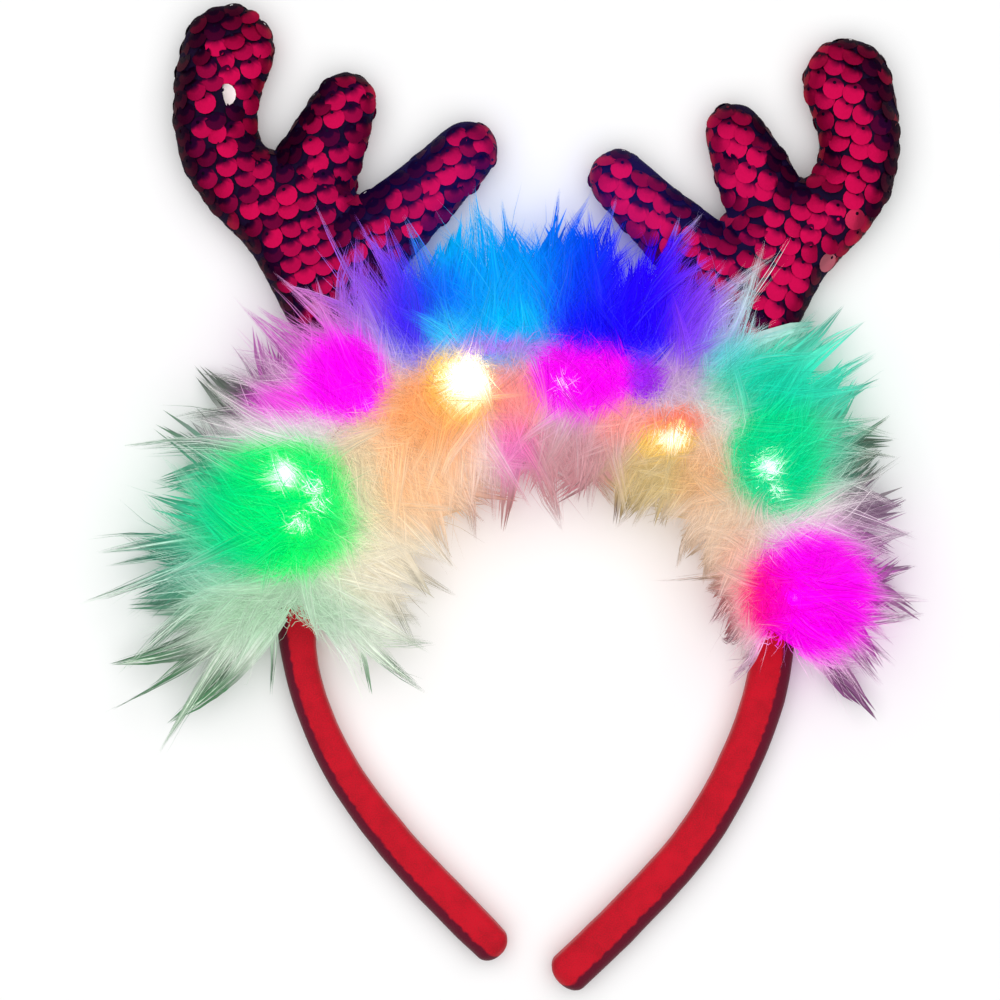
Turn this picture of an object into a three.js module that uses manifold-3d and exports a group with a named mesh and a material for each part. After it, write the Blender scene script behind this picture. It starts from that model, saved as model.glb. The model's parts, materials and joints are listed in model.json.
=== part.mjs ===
// A light-up antler headband: a padded velvet band, a marabou feather trim over its crown, two
// stuffed antlers, and a string of light beads on a copper wire that runs through the feathers.
// Millimetres. The headband lies on its back: +Z is up, and is the side worn to the front.
// +Y runs to the tips of the antlers and +X to the right of somebody facing the headband.
// The origin is on the back edge of the band, at the middle of its crown.

import * as THREE from "three";
import { mergeVertices } from "three/addons/utils/BufferGeometryUtils.js";
import Module from "manifold-3d";

const wasm = await Module();
wasm.setup();

// Gap that parts a piece from the one it sits on
const GAP = 0.3;

// Band: half an ellipse at the crown, then a leg on each side, each row a section of the leg
const CROWN_HALF_WIDTH = 68.5;
const CROWN_HEIGHT = 70.7;
const CROWN_BAND_WIDTH = 11.5;
const CROWN_STEPS = 12;
const LEFT_LEG = [
  { x: -66.6, y: -92.1, width: 9.8 },
  { x: -57.2, y: -116.3, width: 10.0 },
  { x: -41.2, y: -139.1, width: 10.8 },
  { x: -19.9, y: -161.9, width: 11.2 },
  { x: -12.9, y: -168.9, width: 10.6 },
];
const RIGHT_LEG = [
  { x: 66.1, y: -94.6, width: 12.0 },
  { x: 58.6, y: -116.3, width: 11.8 },
  { x: 45.6, y: -139.1, width: 11.9 },
  { x: 25.2, y: -161.9, width: 12.0 },
  { x: 9.6, y: -177.0, width: 12.0 },
];
const BAND_DEPTH = 10;
const BAND_BACK_RADIUS = 2.2;
const BAND_INNER_RADIUS = 2.6;
const BAND_OUTER_RADIUS = 4.6;
const BAND_RINGS = 48;
const BAND_TIP = 4.2;
const TIP_RINGS = 3;

// Antlers: out and up are from the seat on the band, half is half the width of the stuffing
const BEAM = [
  { out: 0, up: 0, half: 10.0 },
  { out: 18.5, up: 29.1, half: 11.4 },
  { out: 29.4, up: 52.4, half: 13.0 },
  { out: 47.9, up: 72.4, half: 12.0 },
  { out: 50.2, up: 88.9, half: 12.4 },
  { out: 46.8, up: 102.9, half: 13.4 },
];
const MIDDLE_TINE = [
  { out: 28.4, up: 52.1, half: 12.6 },
  { out: 19.0, up: 74.2, half: 11.8 },
  { out: 12.6, up: 88.6, half: 8.8 },
];
const INNER_TINE = [
  { out: 14.3, up: 38.6, half: 12.6 },
  { out: 1.4, up: 52.0, half: 12.0 },
  { out: -11.4, up: 63.3, half: 10.0 },
  { out: -22.8, up: 74.1, half: 8.8 },
];
const ANTLERS = [
  { name: "antler_left", side: -1, seatX: -41.6, seatY: -17.1, scale: 1.0 },
  { name: "antler_right", side: 1, seatX: 44.5, seatY: -21.7, scale: 0.956 },
];
const ANTLER_HALF_DEPTH = 6.6;
const ANTLER_MID_Z = 7.0;
const ANTLER_FULLNESS = 2.5;
const ANTLER_SIDES = 14;
const BEAM_RINGS = 12;
const TINE_RINGS = 7;

// Feather trim: a domed core of down on the front of the band, and the locks of feather on it
const TRIM_START = 0.25;
const TRIM_END = 0.745;
const CORE_RINGS = 22;
const CORE_ARCH_STEPS = 6;
const CORE_HALF_WIDTH = 10;
const CORE_HEIGHT = 11.5;
const CORE_FULLNESS = 3;
const CORE_BASE = BAND_DEPTH + GAP;
const LOCK_STATIONS = 17;
const LOCK_FAN_FROM = -22;
const LOCK_FAN_TO = 202;
const LOCKS_IN_FAN = 6;
const LOCK_SIDES = 5;
const LOCK_SECTIONS = [
  { share: 0, radius: 2.6 },
  { share: 0.42, radius: 5.8 },
  { share: 0.76, radius: 3.9 },
];
const LOCK_ROOT_OUT = 4;
const LOCK_ROOT_Z = 15;
const LOCK_DROOP = 5.5;
const LOCK_FLOOR = 1.2;
const LOCK_TRIES = 12;
const END_LEAN = 0.8;

// Reach of the locks along the trim, by the side of the band that they stand on
const LOCK_REACH = [
  { way: 0, outer: 50, front: 36, inner: 40 },
  { way: 0.25, outer: 45, front: 38, inner: 43 },
  { way: 0.5, outer: 44, front: 38, inner: 42 },
  { way: 0.75, outer: 47, front: 38, inner: 38 },
  { way: 1, outer: 44, front: 34, inner: 28 },
];
const LOCK_REACH_SPREAD = 0.14;

// Lights: turn is degrees round the crown from its middle, out is from the middle of the band
const BEAD_RADIUS = 2.4;
const BEAD_SIDES = 8;
const WIRE_RADIUS = 0.4;
const WIRE_SIDES = 8;
const WIRE_STEPS = 60;
const WIRE_ENDS = { leftTurn: -92, rightTurn: 100 };
const MAGENTA = 0xff12d0;
const WARM_WHITE = 0xffd9a0;
const GREEN = 0x19ff7a;
const LIGHTS = [
  { name: "led_green_left", turn: -62.7, out: 3.4, colour: GREEN },
  { name: "led_magenta_left", turn: -41.5, out: 3.8, colour: MAGENTA },
  { name: "led_warm_left", turn: -17.9, out: -4.6, colour: WARM_WHITE },
  { name: "led_azure", turn: -6.5, out: 4.6, colour: 0x0a7dff },
  { name: "led_magenta_middle", turn: 7.2, out: -6.8, colour: MAGENTA },
  { name: "led_blue", turn: 19.1, out: 4.6, colour: 0x2a10ff },
  { name: "led_warm_right", turn: 39.4, out: -6.8, colour: WARM_WHITE },
  { name: "led_green_right", turn: 59.7, out: 3.4, colour: GREEN },
  { name: "led_magenta_right", turn: 89, out: 3.4, colour: MAGENTA },
];

// A closed body through rings of points, each end drawn in to a point
function loft(rings, startPoint, endPoint) {
  const sides = rings[0].length;
  const points = [...rings.flat(), startPoint, endPoint];
  const start = points.length - 2;
  const end = points.length - 1;
  const last = (rings.length - 1) * sides;
  const faces = [];
  for (let side = 0; side < sides; side += 1) {
    const next = (side + 1) % sides;
    faces.push(start, next, side);
    for (let ring = 0; ring < last; ring += sides) {
      faces.push(ring + side, ring + next, ring + sides + next);
      faces.push(ring + side, ring + sides + next, ring + sides + side);
    }
    faces.push(end, last + side, last + next);
  }
  let volume = 0;
  for (let face = 0; face < faces.length; face += 3) {
    const [a, b, c] = faces.slice(face, face + 3).map((index) => points[index]);
    volume += a.dot(b.clone().cross(c));
  }
  const geometry = new THREE.BufferGeometry().setFromPoints(points);
  geometry.setIndex(volume < 0 ? faces.reverse() : faces);
  return geometry;
}

// The solid of a geometry, for joining and cutting
function solidOf(geometry) {
  const bare = new THREE.BufferGeometry();
  bare.setAttribute("position", geometry.getAttribute("position"));
  bare.setIndex(geometry.getIndex());
  const welded = mergeVertices(bare, 1e-4);
  const vertProperties = new Float32Array(welded.getAttribute("position").array);
  const triVerts = new Uint32Array(welded.getIndex().array);
  const mesh = new wasm.Mesh({ numProp: 3, vertProperties, triVerts });
  mesh.merge();
  return new wasm.Manifold(mesh);
}

// The geometry of a solid
function geometryOf(solid) {
  const mesh = solid.getMesh();
  const geometry = new THREE.BufferGeometry();
  const positions = new Float32Array(mesh.vertProperties);
  geometry.setAttribute("position", new THREE.BufferAttribute(positions, 3));
  geometry.setIndex(new THREE.BufferAttribute(new Uint32Array(mesh.triVerts), 1));
  return geometry;
}

// The largest of the bodies in a solid
function largestBody(solid) {
  const bodies = solid.decompose();
  return bodies.reduce((best, body) => (body.volume() > best.volume() ? body : best));
}

// A point round the crown: turn degrees from its middle, out from the band's centre line
function crownPoint(turn, out, z) {
  const angle = THREE.MathUtils.degToRad(turn);
  const x = (CROWN_HALF_WIDTH + out) * Math.sin(angle);
  const y = (CROWN_HEIGHT + out) * Math.cos(angle) - CROWN_HEIGHT;
  return new THREE.Vector3(x, y, z);
}

// The band's centre line from the left tip to the right one, with the width as its third value
function bandLine() {
  const crown = [];
  for (let step = 0; step <= CROWN_STEPS; step += 1) {
    const turn = (step / CROWN_STEPS) * 180 - 90;
    crown.push(crownPoint(turn, 0, CROWN_BAND_WIDTH));
  }
  const left = LEFT_LEG.map((row) => new THREE.Vector3(row.x, row.y, row.width)).reverse();
  const right = RIGHT_LEG.map((row) => new THREE.Vector3(row.x, row.y, row.width));
  return new THREE.CatmullRomCurve3([...left, ...crown, ...right]);
}

// Place, direction along, direction outwards and width at a share of the way along a flat line
function frameAt(line, share) {
  const value = line.getPointAt(share);
  const tangent = line.getTangentAt(share);
  const along = new THREE.Vector3(tangent.x, tangent.y, 0).normalize();
  const outward = new THREE.Vector3(-along.y, along.x, 0);
  return { place: new THREE.Vector3(value.x, value.y, 0), along, outward, width: value.z };
}

// The band's section, as distances outwards and up, with rounded corners, grown by grow all round
function bandSection(width, grow) {
  const half = width / 2;
  const corners = [
    { u: half, v: 0, radius: BAND_BACK_RADIUS, steps: 2, from: -90 },
    { u: half, v: BAND_DEPTH, radius: BAND_OUTER_RADIUS, steps: 3, from: 0 },
    { u: -half, v: BAND_DEPTH, radius: BAND_INNER_RADIUS, steps: 2, from: 90 },
    { u: -half, v: 0, radius: BAND_BACK_RADIUS, steps: 2, from: 180 },
  ];
  const outline = [];
  for (const corner of corners) {
    const u = corner.u - Math.sign(corner.u) * corner.radius;
    const v = corner.v > 0 ? corner.v - corner.radius : corner.radius;
    for (let step = 0; step <= corner.steps; step += 1) {
      const angle = THREE.MathUtils.degToRad(corner.from + (90 * step) / corner.steps);
      const radius = corner.radius + grow;
      outline.push({ across: u + radius * Math.cos(angle), up: v + radius * Math.sin(angle) });
    }
  }
  return outline;
}

// One ring of the band, its section grown by grow, drawn in by size and moved along by forward
function bandRing(line, share, grow, size, forward) {
  const { place, along, outward, width } = frameAt(line, share);
  const middle = BAND_DEPTH / 2;
  return bandSection(width, grow).map(({ across, up }) => {
    const point = place.clone().addScaledVector(along, forward);
    point.addScaledVector(outward, across * size);
    point.z = middle + (up - middle) * size;
    return point;
  });
}

// The padded band, with a rounded tip at each end, grown by grow all round
function bandGeometry(line, grow) {
  const rings = [];
  for (let ring = 0; ring <= BAND_RINGS; ring += 1) {
    rings.push(bandRing(line, ring / BAND_RINGS, grow, 1, 0));
  }
  for (let ring = 1; ring <= TIP_RINGS; ring += 1) {
    const reach = Math.sin((ring / (TIP_RINGS + 0.6)) * (Math.PI / 2));
    const size = Math.sqrt(1 - reach * reach);
    rings.unshift(bandRing(line, 0, grow, size, -reach * BAND_TIP));
    rings.push(bandRing(line, 1, grow, size, reach * BAND_TIP));
  }
  const first = frameAt(line, 0);
  const final = frameAt(line, 1);
  const startPoint = first.place.addScaledVector(first.along, -BAND_TIP);
  const endPoint = final.place.addScaledVector(final.along, BAND_TIP);
  startPoint.z = BAND_DEPTH / 2;
  endPoint.z = BAND_DEPTH / 2;
  return loft(rings, startPoint, endPoint);
}

// Everything inside the band's outer side, grown by the gap, which the antlers' seats are cut to
function insideOfBand(line) {
  const inward = 30;
  const below = -10;
  const above = 30;
  const rings = [];
  for (let ring = 0; ring <= BAND_RINGS; ring += 1) {
    const { place, outward, width } = frameAt(line, ring / BAND_RINGS);
    const near = place.clone().addScaledVector(outward, width / 2 + GAP);
    const far = place.clone().addScaledVector(outward, -inward);
    const corners = [near.clone(), near.clone(), far.clone(), far.clone()];
    corners.forEach((corner, index) => {
      corner.z = index === 1 || index === 2 ? above : below;
    });
    rings.push(corners);
  }
  const startPoint = rings[0][0].clone().lerp(rings[0][2], 0.5);
  const endPoint = rings.at(-1)[0].clone().lerp(rings.at(-1)[2], 0.5);
  return solidOf(loft(rings, startPoint, endPoint));
}

// A value signed as base is and raised to a power, for the rounded-square section of stuffing
function signedPower(base, power) {
  return Math.sign(base) * Math.abs(base) ** power;
}

// One stuffed tube of an antler, with a flat start and a round tip, grown by grow all round
function tineSolid(rows, rings, antler, grow) {
  const { side, seatX, seatY, scale } = antler;
  const points = rows.map(({ out, up, half }) => {
    const x = seatX + side * out * scale;
    const y = seatY + up * scale;
    return new THREE.Vector3(x, y, half * scale + grow);
  });
  const line = new THREE.CatmullRomCurve3(points);
  const depth = ANTLER_HALF_DEPTH + grow;
  const ringAt = (share, size, forward) => {
    const { place, along, outward, width } = frameAt(line, share);
    const ring = [];
    for (let step = 0; step < ANTLER_SIDES; step += 1) {
      const angle = (step / ANTLER_SIDES) * Math.PI * 2;
      const across = signedPower(Math.cos(angle), 2 / ANTLER_FULLNESS) * width * size;
      const point = place.clone().addScaledVector(along, forward);
      point.addScaledVector(outward, across);
      const rise = signedPower(Math.sin(angle), 2 / ANTLER_FULLNESS) * depth;
      point.z = ANTLER_MID_Z + rise * size;
      ring.push(point);
    }
    return ring;
  };
  const body = [];
  for (let ring = 0; ring <= rings; ring += 1) {
    body.push(ringAt(ring / rings, 1, 0));
  }
  const tip = frameAt(line, 1);
  for (const turn of [26, 50, 71]) {
    const angle = THREE.MathUtils.degToRad(turn);
    body.push(ringAt(1, Math.cos(angle), Math.sin(angle) * tip.width));
  }
  const startPoint = frameAt(line, 0).place;
  const endPoint = tip.place.addScaledVector(tip.along, tip.width);
  startPoint.z = ANTLER_MID_Z;
  endPoint.z = ANTLER_MID_Z;
  return solidOf(loft(body, startPoint, endPoint));
}

// A whole antler, cut to sit on the outer side of the band
function antlerSolid(antler, seat, grow) {
  const beam = tineSolid(BEAM, BEAM_RINGS, antler, grow);
  const middle = tineSolid(MIDDLE_TINE, TINE_RINGS, antler, grow);
  const inner = tineSolid(INNER_TINE, TINE_RINGS, antler, grow);
  return largestBody(beam.add(middle).add(inner).subtract(seat));
}

// Height of the top of the core of down, out from the middle of the band
function coreTop(out) {
  const share = Math.min(1, Math.abs(out) / CORE_HALF_WIDTH);
  return CORE_BASE + CORE_HEIGHT * (1 - share ** CORE_FULLNESS) ** (1 / CORE_FULLNESS);
}

// The core of the feather trim, a dome along the front of the band
function coreSolid(line) {
  const rings = [];
  for (let ring = 0; ring <= CORE_RINGS; ring += 1) {
    const share = THREE.MathUtils.lerp(TRIM_START, TRIM_END, ring / CORE_RINGS);
    const { place, outward } = frameAt(line, share);
    const points = [];
    for (let step = 0; step <= CORE_ARCH_STEPS; step += 1) {
      const out = Math.cos((step / CORE_ARCH_STEPS) * Math.PI) * CORE_HALF_WIDTH;
      points.push(place.clone().addScaledVector(outward, out).setZ(coreTop(out)));
    }
    rings.push(points);
  }
  const middle = CORE_BASE + CORE_HEIGHT / 2;
  const startPoint = frameAt(line, TRIM_START).place.setZ(middle);
  const endPoint = frameAt(line, TRIM_END).place.setZ(middle);
  return solidOf(loft(rings, startPoint, endPoint));
}

// One lock of feather: a bent cone from root, along heading, that droops to the surface below
function lockSolid(root, heading, length) {
  const spot = (share) => {
    const point = root.clone().addScaledVector(heading, length * share);
    point.z = Math.max(LOCK_FLOOR, point.z - LOCK_DROOP * share * share);
    return point;
  };
  const upright = new THREE.Vector3(0, 0, 1);
  if (Math.abs(heading.z) > 0.8) {
    upright.set(1, 0, 0);
  }
  const across = new THREE.Vector3().crossVectors(heading, upright).normalize();
  const over = new THREE.Vector3().crossVectors(across, heading).normalize();
  const rings = LOCK_SECTIONS.map(({ share, radius }) => {
    const middle = spot(share);
    const room = Math.min(radius, middle.z - LOCK_FLOOR / 2);
    const ring = [];
    for (let step = 0; step < LOCK_SIDES; step += 1) {
      const angle = (step / LOCK_SIDES) * Math.PI * 2;
      const point = middle.clone().addScaledVector(across, Math.cos(angle) * radius);
      ring.push(point.addScaledVector(over, Math.sin(angle) * room));
    }
    return ring;
  });
  return solidOf(loft(rings, root, spot(1)));
}

// Reach of a lock at a share of the way along the trim, fan radians round from outwards
function lockReach(way, fan) {
  const after = LOCK_REACH.findIndex((row) => row.way >= way);
  const [from, to] = [LOCK_REACH[after - 1], LOCK_REACH[after]];
  const share = (way - from.way) / (to.way - from.way);
  const reach = (side) => THREE.MathUtils.lerp(from[side], to[side], share);
  const side = Math.cos(fan) > 0 ? reach("outer") : reach("inner");
  return THREE.MathUtils.lerp(reach("front"), side, Math.cos(fan) ** 2);
}

// The feather trim: a fan of locks at each station along the core, each turned until it is clear
// of the lights, and all of them cut clear of the band and the antlers
function trimSolid(line, lights, room) {
  const locks = [coreSolid(line)];
  let seed = 1;
  const chance = () => {
    seed += 1;
    return THREE.MathUtils.seededRandom(seed) * 2 - 1;
  };
  for (let station = 0; station < LOCK_STATIONS; station += 1) {
    const way = (station + 0.5) / LOCK_STATIONS;
    const { place, along, outward } = frameAt(line, THREE.MathUtils.lerp(TRIM_START, TRIM_END, way));
    const ends = Math.sign(way - 0.5) * THREE.MathUtils.smoothstep(Math.abs(way - 0.5), 0.3, 0.5);
    for (let lock = 0; lock < LOCKS_IN_FAN; lock += 1) {
      const across = (lock + (station % 2) * 0.5 + 0.25) / LOCKS_IN_FAN;
      const turn = THREE.MathUtils.lerp(LOCK_FAN_FROM, LOCK_FAN_TO, across);
      for (let attempt = 0; attempt < LOCK_TRIES; attempt += 1) {
        const fan = THREE.MathUtils.degToRad(turn + chance() * (8 + attempt * 2));
        const root = place.clone().addScaledVector(outward, Math.cos(fan) * LOCK_ROOT_OUT);
        const heading = outward.clone().multiplyScalar(Math.cos(fan)).setZ(Math.sin(fan));
        heading.addScaledVector(along, ends * END_LEAN + chance() * 0.3).normalize();
        const length = lockReach(way, fan) * (1 + chance() * LOCK_REACH_SPREAD) - LOCK_ROOT_OUT;
        const solid = lockSolid(root.setZ(LOCK_ROOT_Z), heading, length);
        if (solid.intersect(lights).isEmpty()) {
          locks.push(solid);
          break;
        }
      }
    }
  }
  return largestBody(wasm.Manifold.union(locks).subtract(room));
}

// A curve in space given by a function of the share of the way along it
class Route extends THREE.Curve {
  constructor(placeAt) {
    super();
    this.placeAt = placeAt;
  }

  getPoint(share) {
    return this.placeAt(share);
  }
}

// The wire's route over the core, through each light in turn; its ends tuck in at the trim's ends
function wireRoute() {
  const rows = [
    { turn: WIRE_ENDS.leftTurn, out: 0 },
    ...LIGHTS,
    { turn: WIRE_ENDS.rightTurn, out: 0 },
  ];
  const plan = new THREE.CatmullRomCurve3(rows.map((row) => new THREE.Vector3(row.turn, row.out, 0)));
  return new Route((share) => {
    const { x: turn, y: out } = plan.getPoint(share);
    return crownPoint(turn, out, coreTop(out) + GAP + WIRE_RADIUS);
  });
}

// The copper wire, grown by grow
function wireGeometry(grow) {
  const radius = WIRE_RADIUS + grow;
  const section = new THREE.Shape();
  for (let step = 0; step < WIRE_SIDES; step += 1) {
    const angle = (step / WIRE_SIDES) * Math.PI * 2;
    const x = Math.cos(angle) * radius;
    const y = Math.sin(angle) * radius;
    if (step === 0) {
      section.moveTo(x, y);
    } else {
      section.lineTo(x, y);
    }
  }
  section.closePath();
  const options = { extrudePath: wireRoute(), steps: WIRE_STEPS, bevelEnabled: false };
  return new THREE.ExtrudeGeometry(section, options);
}

// A light bead that sits on the wire, grown by grow
function beadGeometry(light, grow) {
  const bead = new THREE.SphereGeometry(BEAD_RADIUS + grow, BEAD_SIDES, BEAD_SIDES / 2 + 1);
  const height = coreTop(light.out) + 2 * (GAP + WIRE_RADIUS) + BEAD_RADIUS;
  const place = crownPoint(light.turn, light.out, height);
  return bead.translate(place.x, place.y, place.z);
}

// A named mesh of one colour
function piece(name, geometry, color, roughness, metalness) {
  const material = new THREE.MeshStandardMaterial({ color, roughness, metalness });
  material.name = name.replace(/_(left|right|middle)$/, "");
  const mesh = new THREE.Mesh(geometry, material);
  mesh.name = name;
  return mesh;
}

const line = bandLine();
const seat = insideOfBand(line);
const headband = new THREE.Group();
headband.name = "headband";

headband.add(piece("band", bandGeometry(line, 0), 0xb3101c, 0.85, 0));

const rooms = [solidOf(bandGeometry(line, GAP))];
for (const antler of ANTLERS) {
  const solid = antlerSolid(antler, seat, 0);
  headband.add(piece(antler.name, geometryOf(solid), 0x9c0c22, 0.4, 0.3));
  rooms.push(antlerSolid(antler, seat, GAP));
}

headband.add(piece("light_wire", wireGeometry(0), 0x8a4a2a, 0.4, 0.9));
const lights = [solidOf(wireGeometry(GAP))];
for (const light of LIGHTS) {
  headband.add(piece(light.name, beadGeometry(light, 0), light.colour, 0.25, 0));
  lights.push(solidOf(beadGeometry(light, GAP)));
}

const trim = trimSolid(line, wasm.Manifold.union(lights), wasm.Manifold.union(rooms));
headband.add(piece("feather_trim", geometryOf(trim), 0xeee9e2, 0.9, 0));

export default headband;
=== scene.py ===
"""Looks of a light-up antler headband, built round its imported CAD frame.

Lengths in the classes are millimetres in the frame of the CAD. The headband lies on its back: +Z is
up and to the front of the wearer, +Y runs to the tips of the antlers, and +X is to the right of
somebody facing the headband. Meshes are put into Blender in metres.
"""

import json
import logging
import math
from collections.abc import Sequence
from dataclasses import dataclass, field
from enum import Enum

import bmesh
import bpy
import numpy as np
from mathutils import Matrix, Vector
from mathutils.bvhtree import BVHTree

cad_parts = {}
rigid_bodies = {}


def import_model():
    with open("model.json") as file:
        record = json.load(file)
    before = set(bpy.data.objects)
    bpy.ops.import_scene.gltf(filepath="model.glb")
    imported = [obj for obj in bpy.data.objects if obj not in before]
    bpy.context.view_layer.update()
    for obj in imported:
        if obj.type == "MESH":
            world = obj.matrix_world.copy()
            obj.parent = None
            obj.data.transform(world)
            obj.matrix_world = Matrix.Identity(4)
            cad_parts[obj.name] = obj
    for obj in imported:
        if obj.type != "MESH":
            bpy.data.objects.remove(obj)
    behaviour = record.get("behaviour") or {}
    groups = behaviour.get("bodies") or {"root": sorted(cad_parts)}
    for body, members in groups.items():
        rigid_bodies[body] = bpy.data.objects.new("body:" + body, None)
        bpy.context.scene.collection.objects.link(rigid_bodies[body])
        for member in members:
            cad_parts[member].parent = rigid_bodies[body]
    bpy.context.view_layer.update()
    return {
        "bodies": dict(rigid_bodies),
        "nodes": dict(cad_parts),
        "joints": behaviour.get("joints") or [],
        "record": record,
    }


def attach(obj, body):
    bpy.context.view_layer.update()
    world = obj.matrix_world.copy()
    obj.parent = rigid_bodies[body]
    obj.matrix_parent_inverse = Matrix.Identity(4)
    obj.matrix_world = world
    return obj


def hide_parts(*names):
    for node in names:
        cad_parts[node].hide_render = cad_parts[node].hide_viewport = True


MM = 0.001
BODY = "root"
LOG = logging.getLogger("headband")

Array = np.ndarray
Rgb = tuple[float, float, float]
Piece = bpy.types.Object
Material = bpy.types.Material
Socket = bpy.types.NodeSocket

UP = np.array([0.0, 0.0, 1.0])
FULL_TURN = 2 * math.pi
BLACK: Rgb = (0.0, 0.0, 0.0)
WHITE: Rgb = (1.0, 1.0, 1.0)


def rgb(red: int, green: int, blue: int) -> Rgb:
    """Linear colour of a screen colour.

    Args:
        red: Red from 0 to 255.
        green: Green from 0 to 255.
        blue: Blue from 0 to 255.

    Returns:
        The three linear channels, by the sRGB curve.
    """
    screen = np.array([red, green, blue]) / 255.0
    linear = np.where(screen <= 0.04045, screen / 12.92, ((screen + 0.055) / 1.055) ** 2.4)
    return tuple(float(value) for value in linear)


def smooth_step(low: float, high: float, value: Array) -> Array:
    """Smooth rise from 0 at low to 1 at high: s*s*(3 - 2*s) of the share s of the way.

    Args:
        low: Value where the rise starts.
        high: Value where it ends.
        value: Values to read.

    Returns:
        The rise at each value.
    """
    share = np.clip((value - low) / (high - low), 0.0, 1.0)
    return share * share * (3.0 - 2.0 * share)


def unit(vectors: Array) -> Array:
    """Vectors along the last axis, drawn to length 1."""
    return vectors / np.maximum(np.linalg.norm(vectors, axis=-1, keepdims=True), 1e-9)


def turn_pair(first: Array, second: Array, angle: Array) -> tuple[Array, Array]:
    """Two ways that are square to each other, turned in their own plane.

    Args:
        first: The first ways.
        second: The second ways.
        angle: Turn of each pair in radians.

    Returns:
        first * cos - second * sin, and second * cos + first * sin.
    """
    cos, sin = np.cos(angle), np.sin(angle)
    return first * cos - second * sin, second * cos + first * sin


def ring_turns(count: int) -> Array:
    """Even turns once round a ring, in radians."""
    return np.linspace(0.0, FULL_TURN, count, endpoint=False)


def travel(line: Array) -> Array:
    """Arc length from the start of a line to each of its points."""
    return np.concatenate([[0.0], np.cumsum(np.linalg.norm(np.diff(line, axis=0), axis=1))])


def spline(rows: Sequence[Sequence[float]], steps: int) -> Array:
    """Even points along a centripetal Catmull-Rom line through rows.

    Each stretch is a cubic whose end slopes come from the neighbouring rows, weighted by the square
    roots of the distances between rows. The points are then spread evenly by arc length.

    Args:
        rows: Points that the line passes through, with any number of values each.
        steps: Number of points to give back.

    Returns:
        The points, one row each.
    """
    knots = np.asarray(rows, float)
    knots = np.vstack([2 * knots[0] - knots[1], knots, 2 * knots[-1] - knots[-2]])
    gap = np.linalg.norm(np.diff(knots, axis=0), axis=1)[:, None] ** 0.5
    before, start, end, after = knots[:-3], knots[1:-2], knots[2:-1], knots[3:]
    d0, d1, d2 = gap[:-2], gap[1:-1], gap[2:]
    slope0 = d1 * ((start - before) / d0 - (end - before) / (d0 + d1) + (end - start) / d1)
    slope1 = d1 * ((end - start) / d1 - (after - start) / (d1 + d2) + (after - end) / d2)
    t = np.linspace(0.0, 1.0, 64, endpoint=False)[None, :, None]
    square = -3 * start + 3 * end - 2 * slope0 - slope1
    cube = 2 * start - 2 * end + slope0 + slope1
    fine = start[:, None] + slope0[:, None] * t + square[:, None] * t**2 + cube[:, None] * t**3
    fine = np.vstack([fine.reshape(-1, knots.shape[1]), knots[-2]])
    way = travel(fine)
    even = np.linspace(0.0, way[-1], steps)
    return np.stack([np.interp(even, way, column) for column in fine.T], axis=1)


def grid_faces(rows: int, columns: int, closed: bool) -> Array:
    """Quads between the points of a grid.

    Args:
        rows: Rows of points.
        columns: Points in a row.
        closed: True to join the last point of a row to its first.

    Returns:
        Point numbers, four for each face.
    """
    row = np.arange(rows - 1)[:, None] * columns
    column = np.arange(columns if closed else columns - 1)[None, :]
    beside = (column + 1) % columns
    corners = [row + column, row + beside, row + columns + beside, row + columns + column]
    return np.stack(np.broadcast_arrays(*corners), axis=-1).reshape(-1, 4)


def closed_tube(rings: Array) -> tuple[Array, list[Array]]:
    """A closed body through rings of points, with a pole at the middle of each end ring.

    Args:
        rings: Points by ring, place round the ring and axis.

    Returns:
        The points, and the arrays of its quads and its end triangles, all facing outwards.
    """
    count, sides, _ = rings.shape
    poles = np.stack([rings[0].mean(axis=0), rings[-1].mean(axis=0)])
    points = np.vstack([rings.reshape(-1, 3), poles])
    quads = grid_faces(count, sides, True)
    here = np.arange(sides)
    beside = (here + 1) % sides
    last = (count - 1) * sides
    start = np.stack([np.full(sides, count * sides), beside, here], axis=1)
    end = np.stack([np.full(sides, count * sides + 1), last + here, last + beside], axis=1)
    a, b, c = points[quads[:, 0]], points[quads[:, 1]], points[quads[:, 2]]
    middle = points.mean(axis=0)
    if np.einsum("ij,ij->", a - middle, np.cross(b - middle, c - middle)) < 0:
        return points, [quads[:, ::-1], np.vstack([start, end])[:, ::-1]]
    return points, [quads, np.vstack([start, end])]


def put_mesh(name: str, points: Array, faces: Sequence[Array]) -> Piece:
    """Put arrays into a new smooth mesh object at the origin.

    Args:
        name: Name of the object.
        points: Points in millimetres, one row each.
        faces: Arrays of point numbers, each with one row for each face.

    Returns:
        The object, linked to the scene.
    """
    mesh = bpy.data.meshes.new(name)
    corners = np.concatenate([part.ravel() for part in faces]).astype(np.int32)
    sizes = np.concatenate([np.full(len(part), part.shape[1]) for part in faces])
    starts = (np.cumsum(sizes) - sizes).astype(np.int32)
    mesh.vertices.add(len(points))
    mesh.vertices.foreach_set("co", (points * MM).astype(np.float32).ravel())
    mesh.loops.add(len(corners))
    mesh.loops.foreach_set("vertex_index", corners)
    mesh.polygons.add(len(sizes))
    mesh.polygons.foreach_set("loop_start", starts)
    mesh.polygons.foreach_set("use_smooth", np.ones(len(sizes), bool))
    mesh.update(calc_edges=True)
    made = bpy.data.objects.new(name, mesh)
    bpy.context.scene.collection.objects.link(made)
    return made


def put_values(piece: Piece, name: str, values: Array) -> None:
    """Give each point of a piece a number.

    Args:
        piece: Piece to write to.
        name: Name of the attribute.
        values: One number for each point.
    """
    attribute = piece.data.attributes.new(name, "FLOAT", "POINT")
    attribute.data.foreach_set("value", values.astype(np.float32).ravel())


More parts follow.
